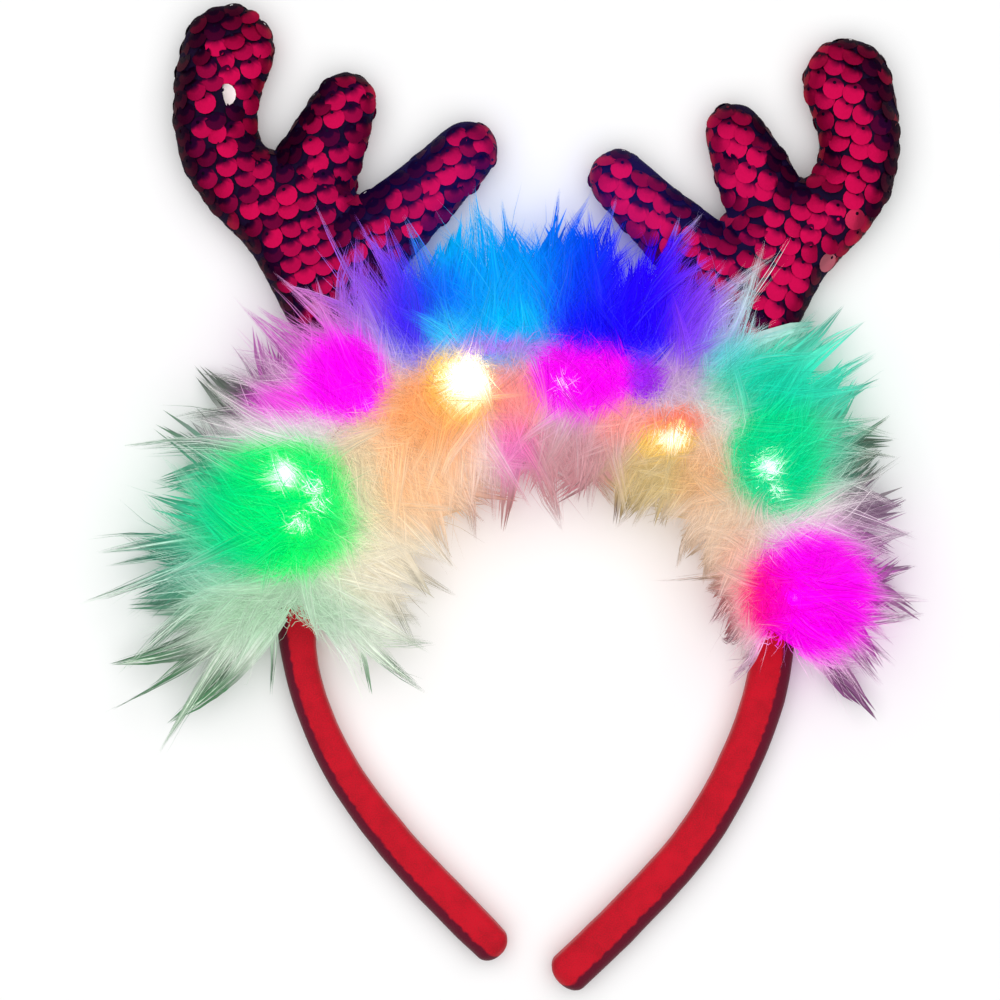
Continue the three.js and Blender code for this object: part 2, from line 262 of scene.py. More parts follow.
def put_colours(piece: Piece, name: str, colours: Array) -> None:
    """Give each point of a piece a linear colour.

    Args:
        piece: Piece to write to.
        name: Name of the attribute.
        colours: One row of three channels for each point.
    """
    attribute = piece.data.attributes.new(name, "FLOAT_COLOR", "POINT")
    full = np.concatenate([colours, np.ones((len(colours), 1))], axis=1)
    attribute.data.foreach_set("color", full.astype(np.float32).ravel())


def take_points(piece: Piece) -> Array:
    """Points of a piece's mesh.

    Args:
        piece: Piece to read.

    Returns:
        The points in millimetres, one row each.
    """
    flat = np.empty(len(piece.data.vertices) * 3, np.float32)
    piece.data.vertices.foreach_get("co", flat)
    return flat.reshape(-1, 3).astype(float) / MM


def put_points(piece: Piece, points: Array) -> None:
    """Move the points of a piece's mesh.

    Args:
        piece: Piece to change.
        points: Their new places in millimetres, one row each.
    """
    piece.data.vertices.foreach_set("co", (points * MM).astype(np.float32).ravel())
    piece.data.update()


def apply_modifiers(piece: Piece) -> None:
    """Replace a piece's mesh by the one its modifiers make, and take the modifiers off.

    Args:
        piece: Piece to change.
    """
    graph = bpy.context.evaluated_depsgraph_get()
    made = bpy.data.meshes.new_from_object(piece.evaluated_get(graph))
    piece.modifiers.clear()
    piece.data = made
    made.polygons.foreach_set("use_smooth", np.ones(len(made.polygons), bool))


def dress(piece: Piece, material: Material) -> None:
    """Give a piece one material.

    Args:
        piece: Piece to dress.
        material: Its material.
    """
    piece.data.materials.clear()
    piece.data.materials.append(material)


class NodeSheet:
    """The nodes of one material or group, with short ways to add them."""

    def __init__(self, tree: bpy.types.NodeTree) -> None:
        """Work on a node tree.

        Args:
            tree: Tree to add nodes to.
        """
        self.tree = tree

    def add(self, kind: str, **settings: object) -> bpy.types.Node:
        """Add a node.

        Args:
            kind: Blender's name for the kind of node.
            **settings: Properties to set on it.

        Returns:
            The node.
        """
        node = self.tree.nodes.new(kind)
        for key, value in settings.items():
            setattr(node, key, value)
        return node

    def feed(self, socket: Socket, value: object) -> None:
        """Give an input a socket, a colour or a number.

        Args:
            socket: Input to set.
            value: Output to link, linear colour or plain number.
        """
        if isinstance(value, Socket):
            self.tree.links.new(value, socket)
        elif isinstance(value, tuple):
            socket.default_value = (*value, 1.0)
        else:
            socket.default_value = value

    def fill(self, node: bpy.types.Node, **values: object) -> None:
        """Feed inputs of a node.

        Args:
            node: The node.
            **values: What each input gets, with _ for a space in its name.
        """
        for key, value in values.items():
            self.feed(node.inputs[key.replace("_", " ")], value)

    def place(self) -> Socket:
        """Object coordinates of the surface."""
        return self.add("ShaderNodeTexCoord").outputs["Object"]

    def reading(self, name: str, output: str = "Fac") -> Socket:
        """An attribute of the piece's points, as a number or with output Color as a colour."""
        return self.add("ShaderNodeAttribute", attribute_name=name).outputs[output]

    def noise(self, place: Socket, scale: object, detail: float) -> Socket:
        """Soft noise from 0 to 1.

        Args:
            place: Coordinates to read.
            scale: Waves in a metre.
            detail: Finer octaves added.

        Returns:
            The noise.
        """
        node = self.add("ShaderNodeTexNoise")
        self.fill(node, Vector=place, Scale=scale, Detail=detail)
        return node.outputs[0]

    def math(self, operation: str, first: object, second: object = 0.0) -> Socket:
        """One sum.

        Args:
            operation: Blender's name for it.
            first: First socket or number.
            second: Second socket or number.

        Returns:
            The result.
        """
        node = self.add("ShaderNodeMath", operation=operation)
        self.feed(node.inputs[0], first)
        self.feed(node.inputs[1], second)
        return node.outputs[0]

    def rise(
        self, value: object, low: float, high: float, start: float = 0.0, end: float = 1.0
    ) -> Socket:
        """Smooth rise of a value.

        Args:
            value: Socket to read.
            low: Value where the rise starts.
            high: Value where it ends.
            start: Result up to low.
            end: Result from high on.

        Returns:
            The result.
        """
        node = self.add("ShaderNodeMapRange", interpolation_type="SMOOTHSTEP")
        for index, each in enumerate((value, low, high, start, end)):
            self.feed(node.inputs[index], each)
        return node.outputs[0]

    def mix(self, share: object, first: object, second: object, blend: str = "MIX") -> Socket:
        """Mix of two colours.

        Args:
            share: Share of the second, as a socket or number.
            first: First colour or socket.
            second: Second colour or socket.
            blend: Blender's name for the way they mix.

        Returns:
            The mixed colour.
        """
        node = self.add("ShaderNodeMix", data_type="RGBA", blend_type=blend)
        self.feed(node.inputs[0], share)
        self.feed(node.inputs[6], first)
        self.feed(node.inputs[7], second)
        return node.outputs[2]

    def bump(self, height: Socket, depth: float) -> Socket:
        """Normals tilted by a height.

        Args:
            height: Height from 0 to 1.
            depth: Depth of the relief in millimetres.

        Returns:
            The normals.
        """
        node = self.add("ShaderNodeBump")
        self.fill(node, Strength=1.0, Distance=depth * MM, Height=height)
        return node.outputs["Normal"]

    def group(self, tree: bpy.types.NodeTree, **values: object) -> bpy.types.Node:
        """Place a node group.

        Args:
            tree: The group.
            **values: What each of its inputs gets, as in fill.

        Returns:
            The group's node.
        """
        node = self.add("ShaderNodeGroup", node_tree=tree)
        self.fill(node, **values)
        return node


def start_group(name: str, inputs: dict[str, str], outputs: dict[str, str]) -> tuple[NodeSheet, dict, dict]:
    """Start a shader node group.

    Args:
        name: Name of the group.
        inputs: Kind of each input, Color or Float, by name.
        outputs: Kind of each output by name.

    Returns:
        The sheet of its nodes, and the sockets that it reads and fills by name.
    """
    tree = bpy.data.node_groups.new(name, "ShaderNodeTree")
    for way, sockets in (("INPUT", inputs), ("OUTPUT", outputs)):
        for key, kind in sockets.items():
            tree.interface.new_socket(name=key, in_out=way, socket_type=f"NodeSocket{kind}")
    sheet = NodeSheet(tree)
    into, out = sheet.add("NodeGroupInput"), sheet.add("NodeGroupOutput")
    return sheet, {key: into.outputs[key] for key in inputs}, {key: out.inputs[key] for key in outputs}


def cloth_nap() -> bpy.types.NodeTree:
    """The group that gives cloth its nap: fine pile over broad patches brushed light and dark.

    Returns:
        The group, built once.
    """
    name = "Cloth Nap"
    if name in bpy.data.node_groups:
        return bpy.data.node_groups[name]
    inputs = {"Face": "Color", "Deep": "Color", "Fineness": "Float"}
    outputs = {"Color": "Color", "Roughness": "Float", "Height": "Float"}
    sheet, read, fill = start_group(name, inputs, outputs)
    place = sheet.place()
    pile = sheet.noise(place, read["Fineness"], 3.0)
    brushed = sheet.noise(place, sheet.math("MULTIPLY", read["Fineness"], 0.06), 2.0)
    both = sheet.math("ADD", sheet.math("MULTIPLY", pile, 0.6), sheet.math("MULTIPLY", brushed, 0.4))
    sheet.feed(fill["Color"], sheet.mix(sheet.rise(both, 0.3, 0.62), read["Deep"], read["Face"]))
    sheet.feed(fill["Roughness"], sheet.rise(pile, 0.25, 0.75, 0.72, 0.94))
    sheet.feed(fill["Height"], pile)
    return sheet.tree


def lit_down() -> bpy.types.NodeTree:
    """The group for down that light shines through.

    Light from 0 to 1 turns the down from its own colour to the tint of the nearest lights, and from
    1 to 2 to white heat close to a bead.

    Returns:
        The group, built once.
    """
    name = "Lit Down"
    if name in bpy.data.node_groups:
        return bpy.data.node_groups[name]
    inputs = {"Down": "Color", "Shade": "Color", "Tint": "Color", "Light": "Float", "Tone": "Float"}
    sheet, read, fill = start_group(name, inputs, {"Color": "Color", "Glow": "Color"})
    fleck = sheet.noise(sheet.place(), 420.0, 2.0)
    tone = sheet.math("MULTIPLY", read["Tone"], sheet.rise(fleck, 0.25, 0.75, 0.8, 1.05))
    shade = sheet.mix(0.6, read["Shade"], sheet.mix(0.75, read["Tint"], BLACK))
    plain = sheet.mix(tone, shade, sheet.mix(0.2, read["Down"], read["Tint"]))
    amount = sheet.math("MINIMUM", read["Light"], 1.0)
    heat = sheet.math("MAXIMUM", sheet.math("SUBTRACT", read["Light"], 1.0), 0.0)
    deep = sheet.mix(0.4, read["Tint"], BLACK)
    sheet.feed(fill["Color"], sheet.mix(amount, plain, deep))
    shine = sheet.math("POWER", amount, 1.6)
    # Painted light: away from the beads too, the down glows with about half its own colour, for light
    # scattered through it.
    scattered = sheet.mix(0.46, plain, BLACK)
    glow = sheet.mix(shine, scattered, read["Tint"])
    sheet.feed(fill["Glow"], sheet.mix(heat, glow, (2.4, 2.4, 2.4)))
    return sheet.tree


def start_material(name: str) -> tuple[Material, NodeSheet, bpy.types.Node]:
    """Start a material with one Principled shader.

    Args:
        name: Name of the material.

    Returns:
        The material, the sheet of its nodes and the shader.
    """
    material = bpy.data.materials.new(name)
    material.use_nodes = True
    sheet = NodeSheet(material.node_tree)
    material.node_tree.nodes.clear()
    shader = sheet.add("ShaderNodeBsdfPrincipled")
    sheet.feed(sheet.add("ShaderNodeOutputMaterial").inputs["Surface"], shader.outputs["BSDF"])
    return material, sheet, shader


def catch_light(material: Material, sheet: NodeSheet, shader: bpy.types.Node, spill: Rgb) -> None:
    """Let a surface catch the down's light by its spill, as a faint glow of its own.

    Args:
        material: The material.
        sheet: The sheet of its nodes.
        shader: Its shader.
        spill: Colour of the light where the spill is 1.
    """
    light = sheet.mix(sheet.reading("spill"), BLACK, spill)
    sheet.fill(shader, Emission_Color=light, Emission_Strength=1.0)
    material.cycles.emission_sampling = "NONE"


@dataclass(frozen=True)
class VelvetFinish:
    """Velvet of the band, with painted shade in dark wine along its outer edge, where it turns away from the
    light.
    """

    face: Rgb = rgb(200, 11, 36)
    deep: Rgb = rgb(164, 7, 28)
    # Painted shade: colour of the band's outer edge, which turns away from the light.
    shoulder: Rgb = rgb(96, 4, 34)
    pile: float = 2600.0

    def make(self) -> Material:
        """Build the material.

        Returns:
            The material.
        """
        material, sheet, shader = start_material("band velvet")
        nap = sheet.group(cloth_nap(), Face=self.face, Deep=self.deep, Fineness=self.pile)
        # Painted shade: the outer edge darkens to dark wine past a ragged line.
        ragged = sheet.noise(sheet.place(), 420.0, 4.0)
        line = sheet.math("ADD", sheet.reading("shoulder"), sheet.math("MULTIPLY", ragged, 0.5))
        share = sheet.rise(line, 0.44, 0.66)
        sheet.fill(
            shader,
            Base_Color=sheet.mix(share, nap.outputs["Color"], self.shoulder),
            Roughness=nap.outputs["Roughness"],
            Normal=sheet.bump(nap.outputs["Height"], 0.12),
            Specular_IOR_Level=0.2,
            Sheen_Weight=0.15,
            Sheen_Roughness=0.4,
        )
        return material


@dataclass(frozen=True)
class BackingFinish:
    """Dark cloth of the antlers, which shows between the sequins."""

    face: Rgb = rgb(24, 3, 38)
    deep: Rgb = rgb(8, 2, 26)
    weave: float = 1500.0
    spill: Rgb = (0.0, 0.002, 0.095)

    def make(self) -> Material:
        """Build the material.

        Returns:
            The material.
        """
        material, sheet, shader = start_material("antler cloth")
        nap = sheet.group(cloth_nap(), Face=self.face, Deep=self.deep, Fineness=self.weave)
        sheet.fill(
            shader,
            Base_Color=nap.outputs["Color"],
            Roughness=nap.outputs["Roughness"],
            Normal=sheet.bump(nap.outputs["Height"], 0.25),
            Specular_IOR_Level=0.1,
        )
        catch_light(material, sheet, shader, self.spill)
        return material


@dataclass(frozen=True)
class SequinFinish:
    """Crimson foil of the sequins, each darker or brighter by its tone, which carries painted shade, and some
    turned to their pale side, which stands in for a painted glint.
    """

    # Painted shade: the foil's colour in shade, for dark sequins and for those shaded by their place on the
    # antler.
    dull_and_shaded: Rgb = rgb(28, 2, 34)
    bright: Rgb = rgb(178, 8, 66)
    # Painted glint: the near-white back of a turned sequin stands in for a glint of light.
    pale: Rgb = rgb(255, 240, 240)
    scratches: float = 1800.0
    spill: Rgb = (0.0, 0.003, 0.065)

    def make(self) -> Material:
        """Build the material.

        Returns:
            The material.
        """
        material, sheet, shader = start_material("sequin foil")
        tone = sheet.reading("tone")
        foil = sheet.mix(sheet.rise(tone, -0.2, 0.9), self.dull_and_shaded, self.bright)
        colour = sheet.mix(sheet.rise(tone, 1.2, 2.0), foil, self.pale)
        rub = sheet.noise(sheet.place(), self.scratches, 3.0)
        sheet.fill(
            shader,
            Base_Color=colour,
            Roughness=sheet.rise(rub, 0.2, 0.8, 0.36, 0.5),
            Normal=sheet.bump(rub, 0.03),
            Metallic=0.72,
            Specular_Tint=(0.4, 0.05, 0.1),
        )
        catch_light(material, sheet, shader, self.spill)
        return material


@dataclass(frozen=True)
class DownFinish:
    """White down, shaded underneath, that takes the tint of the lights inside it."""

    name: str
    down: Rgb = rgb(242, 238, 236)
    shade: Rgb = rgb(64, 70, 70)

    def make(self) -> Material:
        """Build the material.

        Returns:
            The material.
        """
        material, sheet, shader = start_material(self.name)
        lit = sheet.group(
            lit_down(),
            Down=self.down,
            Shade=self.shade,
            Tint=sheet.reading("tint", "Color"),
            Light=sheet.reading("light"),
            Tone=sheet.reading("tone"),
        )
        sheet.fill(
            shader,
            Base_Color=lit.outputs["Color"],
            Emission_Color=lit.outputs["Glow"],
            Roughness=sheet.rise(sheet.reading("tone"), 0.0, 1.0, 0.95, 0.75),
            Emission_Strength=0.6,
            Specular_IOR_Level=0.0,
        )
        material.cycles.emission_sampling = "NONE"
        return material


@dataclass(frozen=True)
class BeadFinish:
    """Clear resin drop of a light, white hot along its middle."""

    name: str
    tint: Rgb

    def make(self) -> Material:
        """Build the material.

        Returns:
            The material.
        """
        material, sheet, shader = start_material(self.name)
        swirl = sheet.noise(sheet.place(), 900.0, 1.0)
        heat = sheet.math("ADD", sheet.reading("heat"), sheet.math("MULTIPLY", swirl, 0.3))
        glow = sheet.mix(sheet.rise(heat, 0.35, 0.85), self.tint, WHITE)
        sheet.fill(
            shader,
            Base_Color=sheet.mix(0.5, glow, self.tint),
            Emission_Color=glow,
            Roughness=sheet.rise(swirl, 0.2, 0.8, 0.2, 0.35),
            Emission_Strength=1.0,
            Coat_Weight=0.15,
        )
        return material


@dataclass(frozen=True)
class WireFinish:
    """Enamelled copper of the light wire, which takes the tint of the lights near it."""

    copper: Rgb = rgb(150, 82, 52)
    enamel: Rgb = rgb(86, 34, 22)

    def make(self) -> Material:
        """Build the material.

        Returns:
            The material.
        """
        material, sheet, shader = start_material("copper wire")
        worn = sheet.noise(sheet.place(), 600.0, 3.0)
        metal = sheet.mix(sheet.rise(worn, 0.35, 0.7), self.enamel, self.copper)
        tint = sheet.reading("tint", "Color")
        share = sheet.math("MULTIPLY", sheet.math("MINIMUM", sheet.reading("light"), 1.0), 0.8)
        sheet.fill(
            shader,
            Base_Color=sheet.mix(share, metal, tint),
            Emission_Color=sheet.mix(share, BLACK, tint),
            Roughness=sheet.rise(worn, 0.3, 0.7, 0.25, 0.45),
            Metallic=0.6,
            Emission_Strength=0.3,
        )
        return material


@dataclass(frozen=True)
class PaperFinish:
    """Plain pale paper of the floor."""

    light: Rgb = (0.93, 0.93, 0.93)
    grey: Rgb = (0.90, 0.90, 0.90)

    def make(self) -> Material:
        """Build the material.

        Returns:
            The material.
        """
        material, sheet, shader = start_material("floor paper")
        grain = sheet.noise(sheet.place(), 40.0, 2.0)
        sheet.fill(
            shader,
            Base_Color=sheet.mix(grain, self.grey, self.light),
            Roughness=sheet.rise(grain, 0.2, 0.8, 0.85, 0.95),
            Specular_IOR_Level=0.1,
        )
        return material


@dataclass(frozen=True)
class Stations:
    """Places along the band's centre line, with the directions there."""

    place: Array
    along: Array
    outward: Array
    width: Array


@dataclass
class BandLine:
    """Centre line of the band: half an ellipse at the crown, and a leg of rows on each side."""

    crown_half_width: float = 68.5
    crown_height: float = 70.7
    crown_width: float = 11.5
    left_leg: tuple = (
        (-66.6, -92.1, 9.8),
        (-57.2, -116.3, 10.0),
        (-41.2, -139.1, 10.8),
        (-19.9, -161.9, 11.2),
        (-12.9, -168.9, 10.6),
    )
    right_leg: tuple = (
        (66.1, -94.6, 12.0),
        (58.6, -116.3, 11.8),
        (45.6, -139.1, 11.9),
        (25.2, -161.9, 12.0),
        (9.6, -177.0, 12.0),
    )
    crown_knots: int = 13
    steps: int = 1200
    rows: Array = field(init=False)
    shares: Array = field(init=False)

    def __post_init__(self) -> None:
        """Work out the line once."""
        turns = np.linspace(-90.0, 90.0, self.crown_knots)
        crown = np.column_stack([self.crown_point(turns, 0.0), np.full(self.crown_knots, self.crown_width)])
        knots = np.vstack([self.left_leg[::-1], crown, self.right_leg])
        self.rows = spline(knots, self.steps)
        self.shares = np.linspace(0.0, 1.0, self.steps)

    def crown_point(self, turn: Array, out: Array) -> Array:
        """Places round the crown: ((a + out) sin turn, (b + out) cos turn - b).

        Args:
            turn: Degrees from the middle of the crown.
            out: Distance outwards from the centre line.

        Returns:
            X and Y of each place.
        """
        angle = np.radians(turn)
        x = (self.crown_half_width + out) * np.sin(angle)
        y = (self.crown_height + out) * np.cos(angle) - self.crown_height
        return np.stack([x, y], axis=-1)

    def at(self, shares: Array) -> Stations:
        """Stations at shares of the way from the left tip to the right one.

        Args:
            shares: Shares from 0 to 1.

        Returns:
            The stations, with Z 0.
        """
        slope = np.gradient(self.rows[:, :2], axis=0)
        columns = [self.rows[:, 0], self.rows[:, 1], self.rows[:, 2], slope[:, 0], slope[:, 1]]
        x, y, width, dx, dy = (np.interp(shares, self.shares, column) for column in columns)
        flat = np.zeros_like(x)
        along = unit(np.stack([dx, dy, flat], axis=-1))
        outward = np.stack([-along[..., 1], along[..., 0], flat], axis=-1)
        return Stations(np.stack([x, y, flat], axis=-1), along, outward, width)


@dataclass
class Band:
    """The padded hoop, covered in velvet and drawn in to a rounded tip at each end.

    A wave of the cover is its turns along the band in radians, its turns round it, its phase and its size.
    Painted shade darkens the outer edge over a range of the half width, and the very tips have tip_shade.
    """

    line: BandLine
    depth: float = 10.0
    back_radius: float = 2.2
    inner_radius: float = 2.6
    outer_radius: float = 4.6
    tip: float = 4.2
    tip_turn: float = 86.0
    rings: int = 260
    tip_rings: int = 14
    corner_steps: int = 9
    pucker: float = 0.10
    waves: tuple = ((138.0, 2, 0.0, 1.0), (222.0, -1, 1.0, 1.0), (366.0, 3, 0.0, 0.7))
    # Painted shade on the outer edge: the range of the half width over which it grows, and its share at the
    # very tips.
    shoulder: tuple[float, float] = (0.1, 1.0)
    tip_shade: float = 0.4
    finish: VelvetFinish = VelvetFinish()

    def section(self, half: Array) -> tuple[Array, Array]:
        """The band's section: four round corners, each a quarter circle about its own middle.

        Args:
            half: Half the width at each ring.

        Returns:
            Distance across and height, by ring and place round the section.
        """
        radii = np.array([self.back_radius, self.outer_radius, self.inner_radius, self.back_radius])
        sides = np.array([1.0, 1.0, -1.0, -1.0])
        heights = np.array([0.0, self.depth, self.depth, 0.0])
        quarter = np.linspace(0.0, 90.0, self.corner_steps)
        angle = np.radians(np.array([-90.0, 0.0, 90.0, 180.0])[:, None] + quarter)
        middle = sides * (half[:, None] - radii)
        across = middle[:, :, None] + radii[:, None] * np.cos(angle)
        lift = np.where(heights > 0, self.depth - radii, radii)
        up = lift[:, None] + radii[:, None] * np.sin(angle)
        across = across.reshape(len(half), -1)
        return across, np.broadcast_to(up.reshape(1, -1), across.shape)

    def surface(self) -> tuple[Array, Array]:
        """The band's surface: the section carried along the line, drawn in at the tips.

        At a tip the section moves forward by tip * sin(a) and shrinks by cos(a). The stuffing
        puckers the cover by a few slow waves along and round it.

        Returns:
            The rings of points, and the share of the way out to the outer edge, which sets the painted shade.
        """
        turn = np.linspace(0.0, 1.0, self.tip_rings + 1)[1:] * math.radians(self.tip_turn)
        body = np.linspace(0.0, 1.0, self.rings)
        shares = np.concatenate([np.zeros(self.tip_rings), body, np.ones(self.tip_rings)])
        size = np.concatenate([np.cos(turn[::-1]), np.ones(self.rings), np.cos(turn)])
        ahead = np.concatenate([-np.sin(turn[::-1]), np.zeros(self.rings), np.sin(turn)]) * self.tip
        spots = self.line.at(shares)
        across, up = self.section(spots.width / 2)
        way, turns = shares[:, None], ring_turns(across.shape[1])[None, :]
        parts = [size * np.sin(way * a + turns * b + phase) for a, b, phase, size in self.waves]
        most = sum(size for *_, size in self.waves)
        middle = self.depth / 2
        swell = 1.0 - self.pucker * (sum(parts) + most) / (2 * most) / middle
        out = across * swell * size[:, None]
        height = middle + (up - middle) * swell * size[:, None]
        points = spots.place[:, None] + spots.outward[:, None] * out[..., None]
        points = points + spots.along[:, None] * ahead[:, None, None]
        points[..., 2] = height
        over = across / (spots.width[:, None] / 2)
        return points, np.clip(over, -1.0, 1.0)

    def build(self) -> Piece:
        """Build and dress the band.

        Returns:
            The piece.
        """
        rings, over = self.surface()
        points, faces = closed_tube(rings)
        piece = put_mesh("padded_band", points, faces)
        # Painted shade on the outer edge and at the tips.
        shoulder = smooth_step(*self.shoulder, over).ravel()
        put_values(piece, "shoulder", np.concatenate([shoulder, np.full(2, self.tip_shade)]))
        dress(piece, self.finish.make())
        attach(piece, BODY)
        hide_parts("band")
        return piece


class Side(Enum):
    """The two antlers, by the side of the crown they stand on."""

    LEFT = -1
    RIGHT = 1


@dataclass
class AntlerShape:
    """Plan of an antler: rows of out, up and half width from its seat for the beam and two tines."""

    side: Side
    seat: tuple[float, float]
    scale: float
    beam: tuple = (
        (0.0, 0.0, 10.0),
        (18.5, 29.1, 11.4),
        (29.4, 52.4, 13.0),
        (47.9, 72.4, 12.0),
        (50.2, 88.9, 12.4),
        (46.8, 102.9, 13.4),
    )
    middle_tine: tuple = ((28.4, 52.1, 12.6), (19.0, 74.2, 11.8), (12.6, 88.6, 8.8))
    inner_tine: tuple = ((14.3, 38.6, 12.6), (1.4, 52.0, 12.0), (-11.4, 63.3, 10.0), (-22.8, 74.1, 8.8))
    steps: int = 60
    half_depth: float = 6.6
    middle_z: float = 7.0
    fullness: float = 2.5

    def half_height(self, x: Array, y: Array) -> Array:
        """Half the thickness of the stuffing over places in plan.

        It is d * (1 - q^n)^(1/n), where q is the least distance to a tine's line as a share of the
        half width there.

        Args:
            x: X of each place.
            y: Y of each place.

        Returns:
            Half the thickness, 0 outside the antler.
        """
        tines = (self.beam, self.middle_tine, self.inner_tine)
        lines = np.vstack([spline(rows, self.steps) for rows in tines])
        middle_x = self.seat[0] + self.side.value * lines[:, 0] * self.scale
        middle_y = self.seat[1] + lines[:, 1] * self.scale
        away = np.hypot(x[..., None] - middle_x, y[..., None] - middle_y) / (lines[:, 2] * self.scale)
        room = np.clip(1.0 - away.min(axis=-1) ** self.fullness, 0.0, 1.0)
        return self.half_depth * room ** (1.0 / self.fullness)


@dataclass(frozen=True)
class SequinSeats:
    """Where sequins are sewn on: middle, way up, way sideways, way out of the cloth, tone and bend."""

    middle: Array
    up: Array
    sideways: Array
    out: Array
    tone: Array
    bend: Array


@dataclass(frozen=True)
class SequinTone:
    """Tones of an antler's sequins with painted shade in them, from 0 for dark to 1 for bright.

    Shine is their mean, spread the chance of each one and patch the size of slow patches. The rest is painted
    shade: dusk is what the outer foot of the antler loses, flank what sequins lose that face outwards, which
    the tines put off by tine, rim what those on the edge lose, and dull what a few single ones lose, for
    sequins tilted away.
    """

    shine: float
    foot_shade: float
    spread: float = 0.2
    patch: float = 0.3
    slope: float = 0.55
    foot_shade_from: tuple[float, float] = (2.0, 12.0)
    flank_shade: float = 0.95
    flank_shade_way: tuple[float, float] = (0.8, 0.6)
    flank_shade_from: tuple[float, float] = (0.06, 0.38)
    tine: float = 0.2
    tine_from: tuple[float, float] = (-24.0, -12.0)
    rim: float = 0.15
    dull_and_shaded: float = 0.45
    dull_share: float = 0.09

    def at(self, shape: AntlerShape, seats: Array, out: Array, free: Array, rng: np.random.Generator) -> Array:
        """Tones at seats.

        Args:
            shape: The antler's plan.
            seats: The seats on the cloth.
            out: The way out of the cloth at each seat.
            free: 1 on the face of the antler, 0 on its edge.
            rng: Source of chance.

        Returns:
            One tone for each seat.
        """
        x, y, side = seats[:, 0], seats[:, 1], shape.side.value
        patch = np.sin(x * 0.31 + 1.7 * np.sin(y * 0.23)) * np.sin(y * 0.27 + 2.0)
        aside = side * (x - shape.seat[0]) - self.slope * (y - shape.seat[1])
        # Painted shade: sequins that face outwards are darkened, less so towards the inner tines.
        facing = out[:, 0] * side * self.flank_shade_way[0] + out[:, 1] * self.flank_shade_way[1]
        facing = facing - self.tine * (1.0 - smooth_step(*self.tine_from, aside))
        tone = rng.normal(self.shine, self.spread, len(seats)) + self.patch * patch
        tone = tone - self.flank_shade * smooth_step(*self.flank_shade_from, facing)
        # Painted shade on the outer foot of the antler and on its edge.
        tone = tone - self.foot_shade * smooth_step(*self.foot_shade_from, aside) - self.rim * (1.0 - free)
        # A few single sequins are darkened at random, painted shade of sequins tilted away.
        return np.clip(tone - np.where(rng.random(len(seats)) < self.dull_share, self.dull_and_shaded, 0.0), 0.0, 1.0)


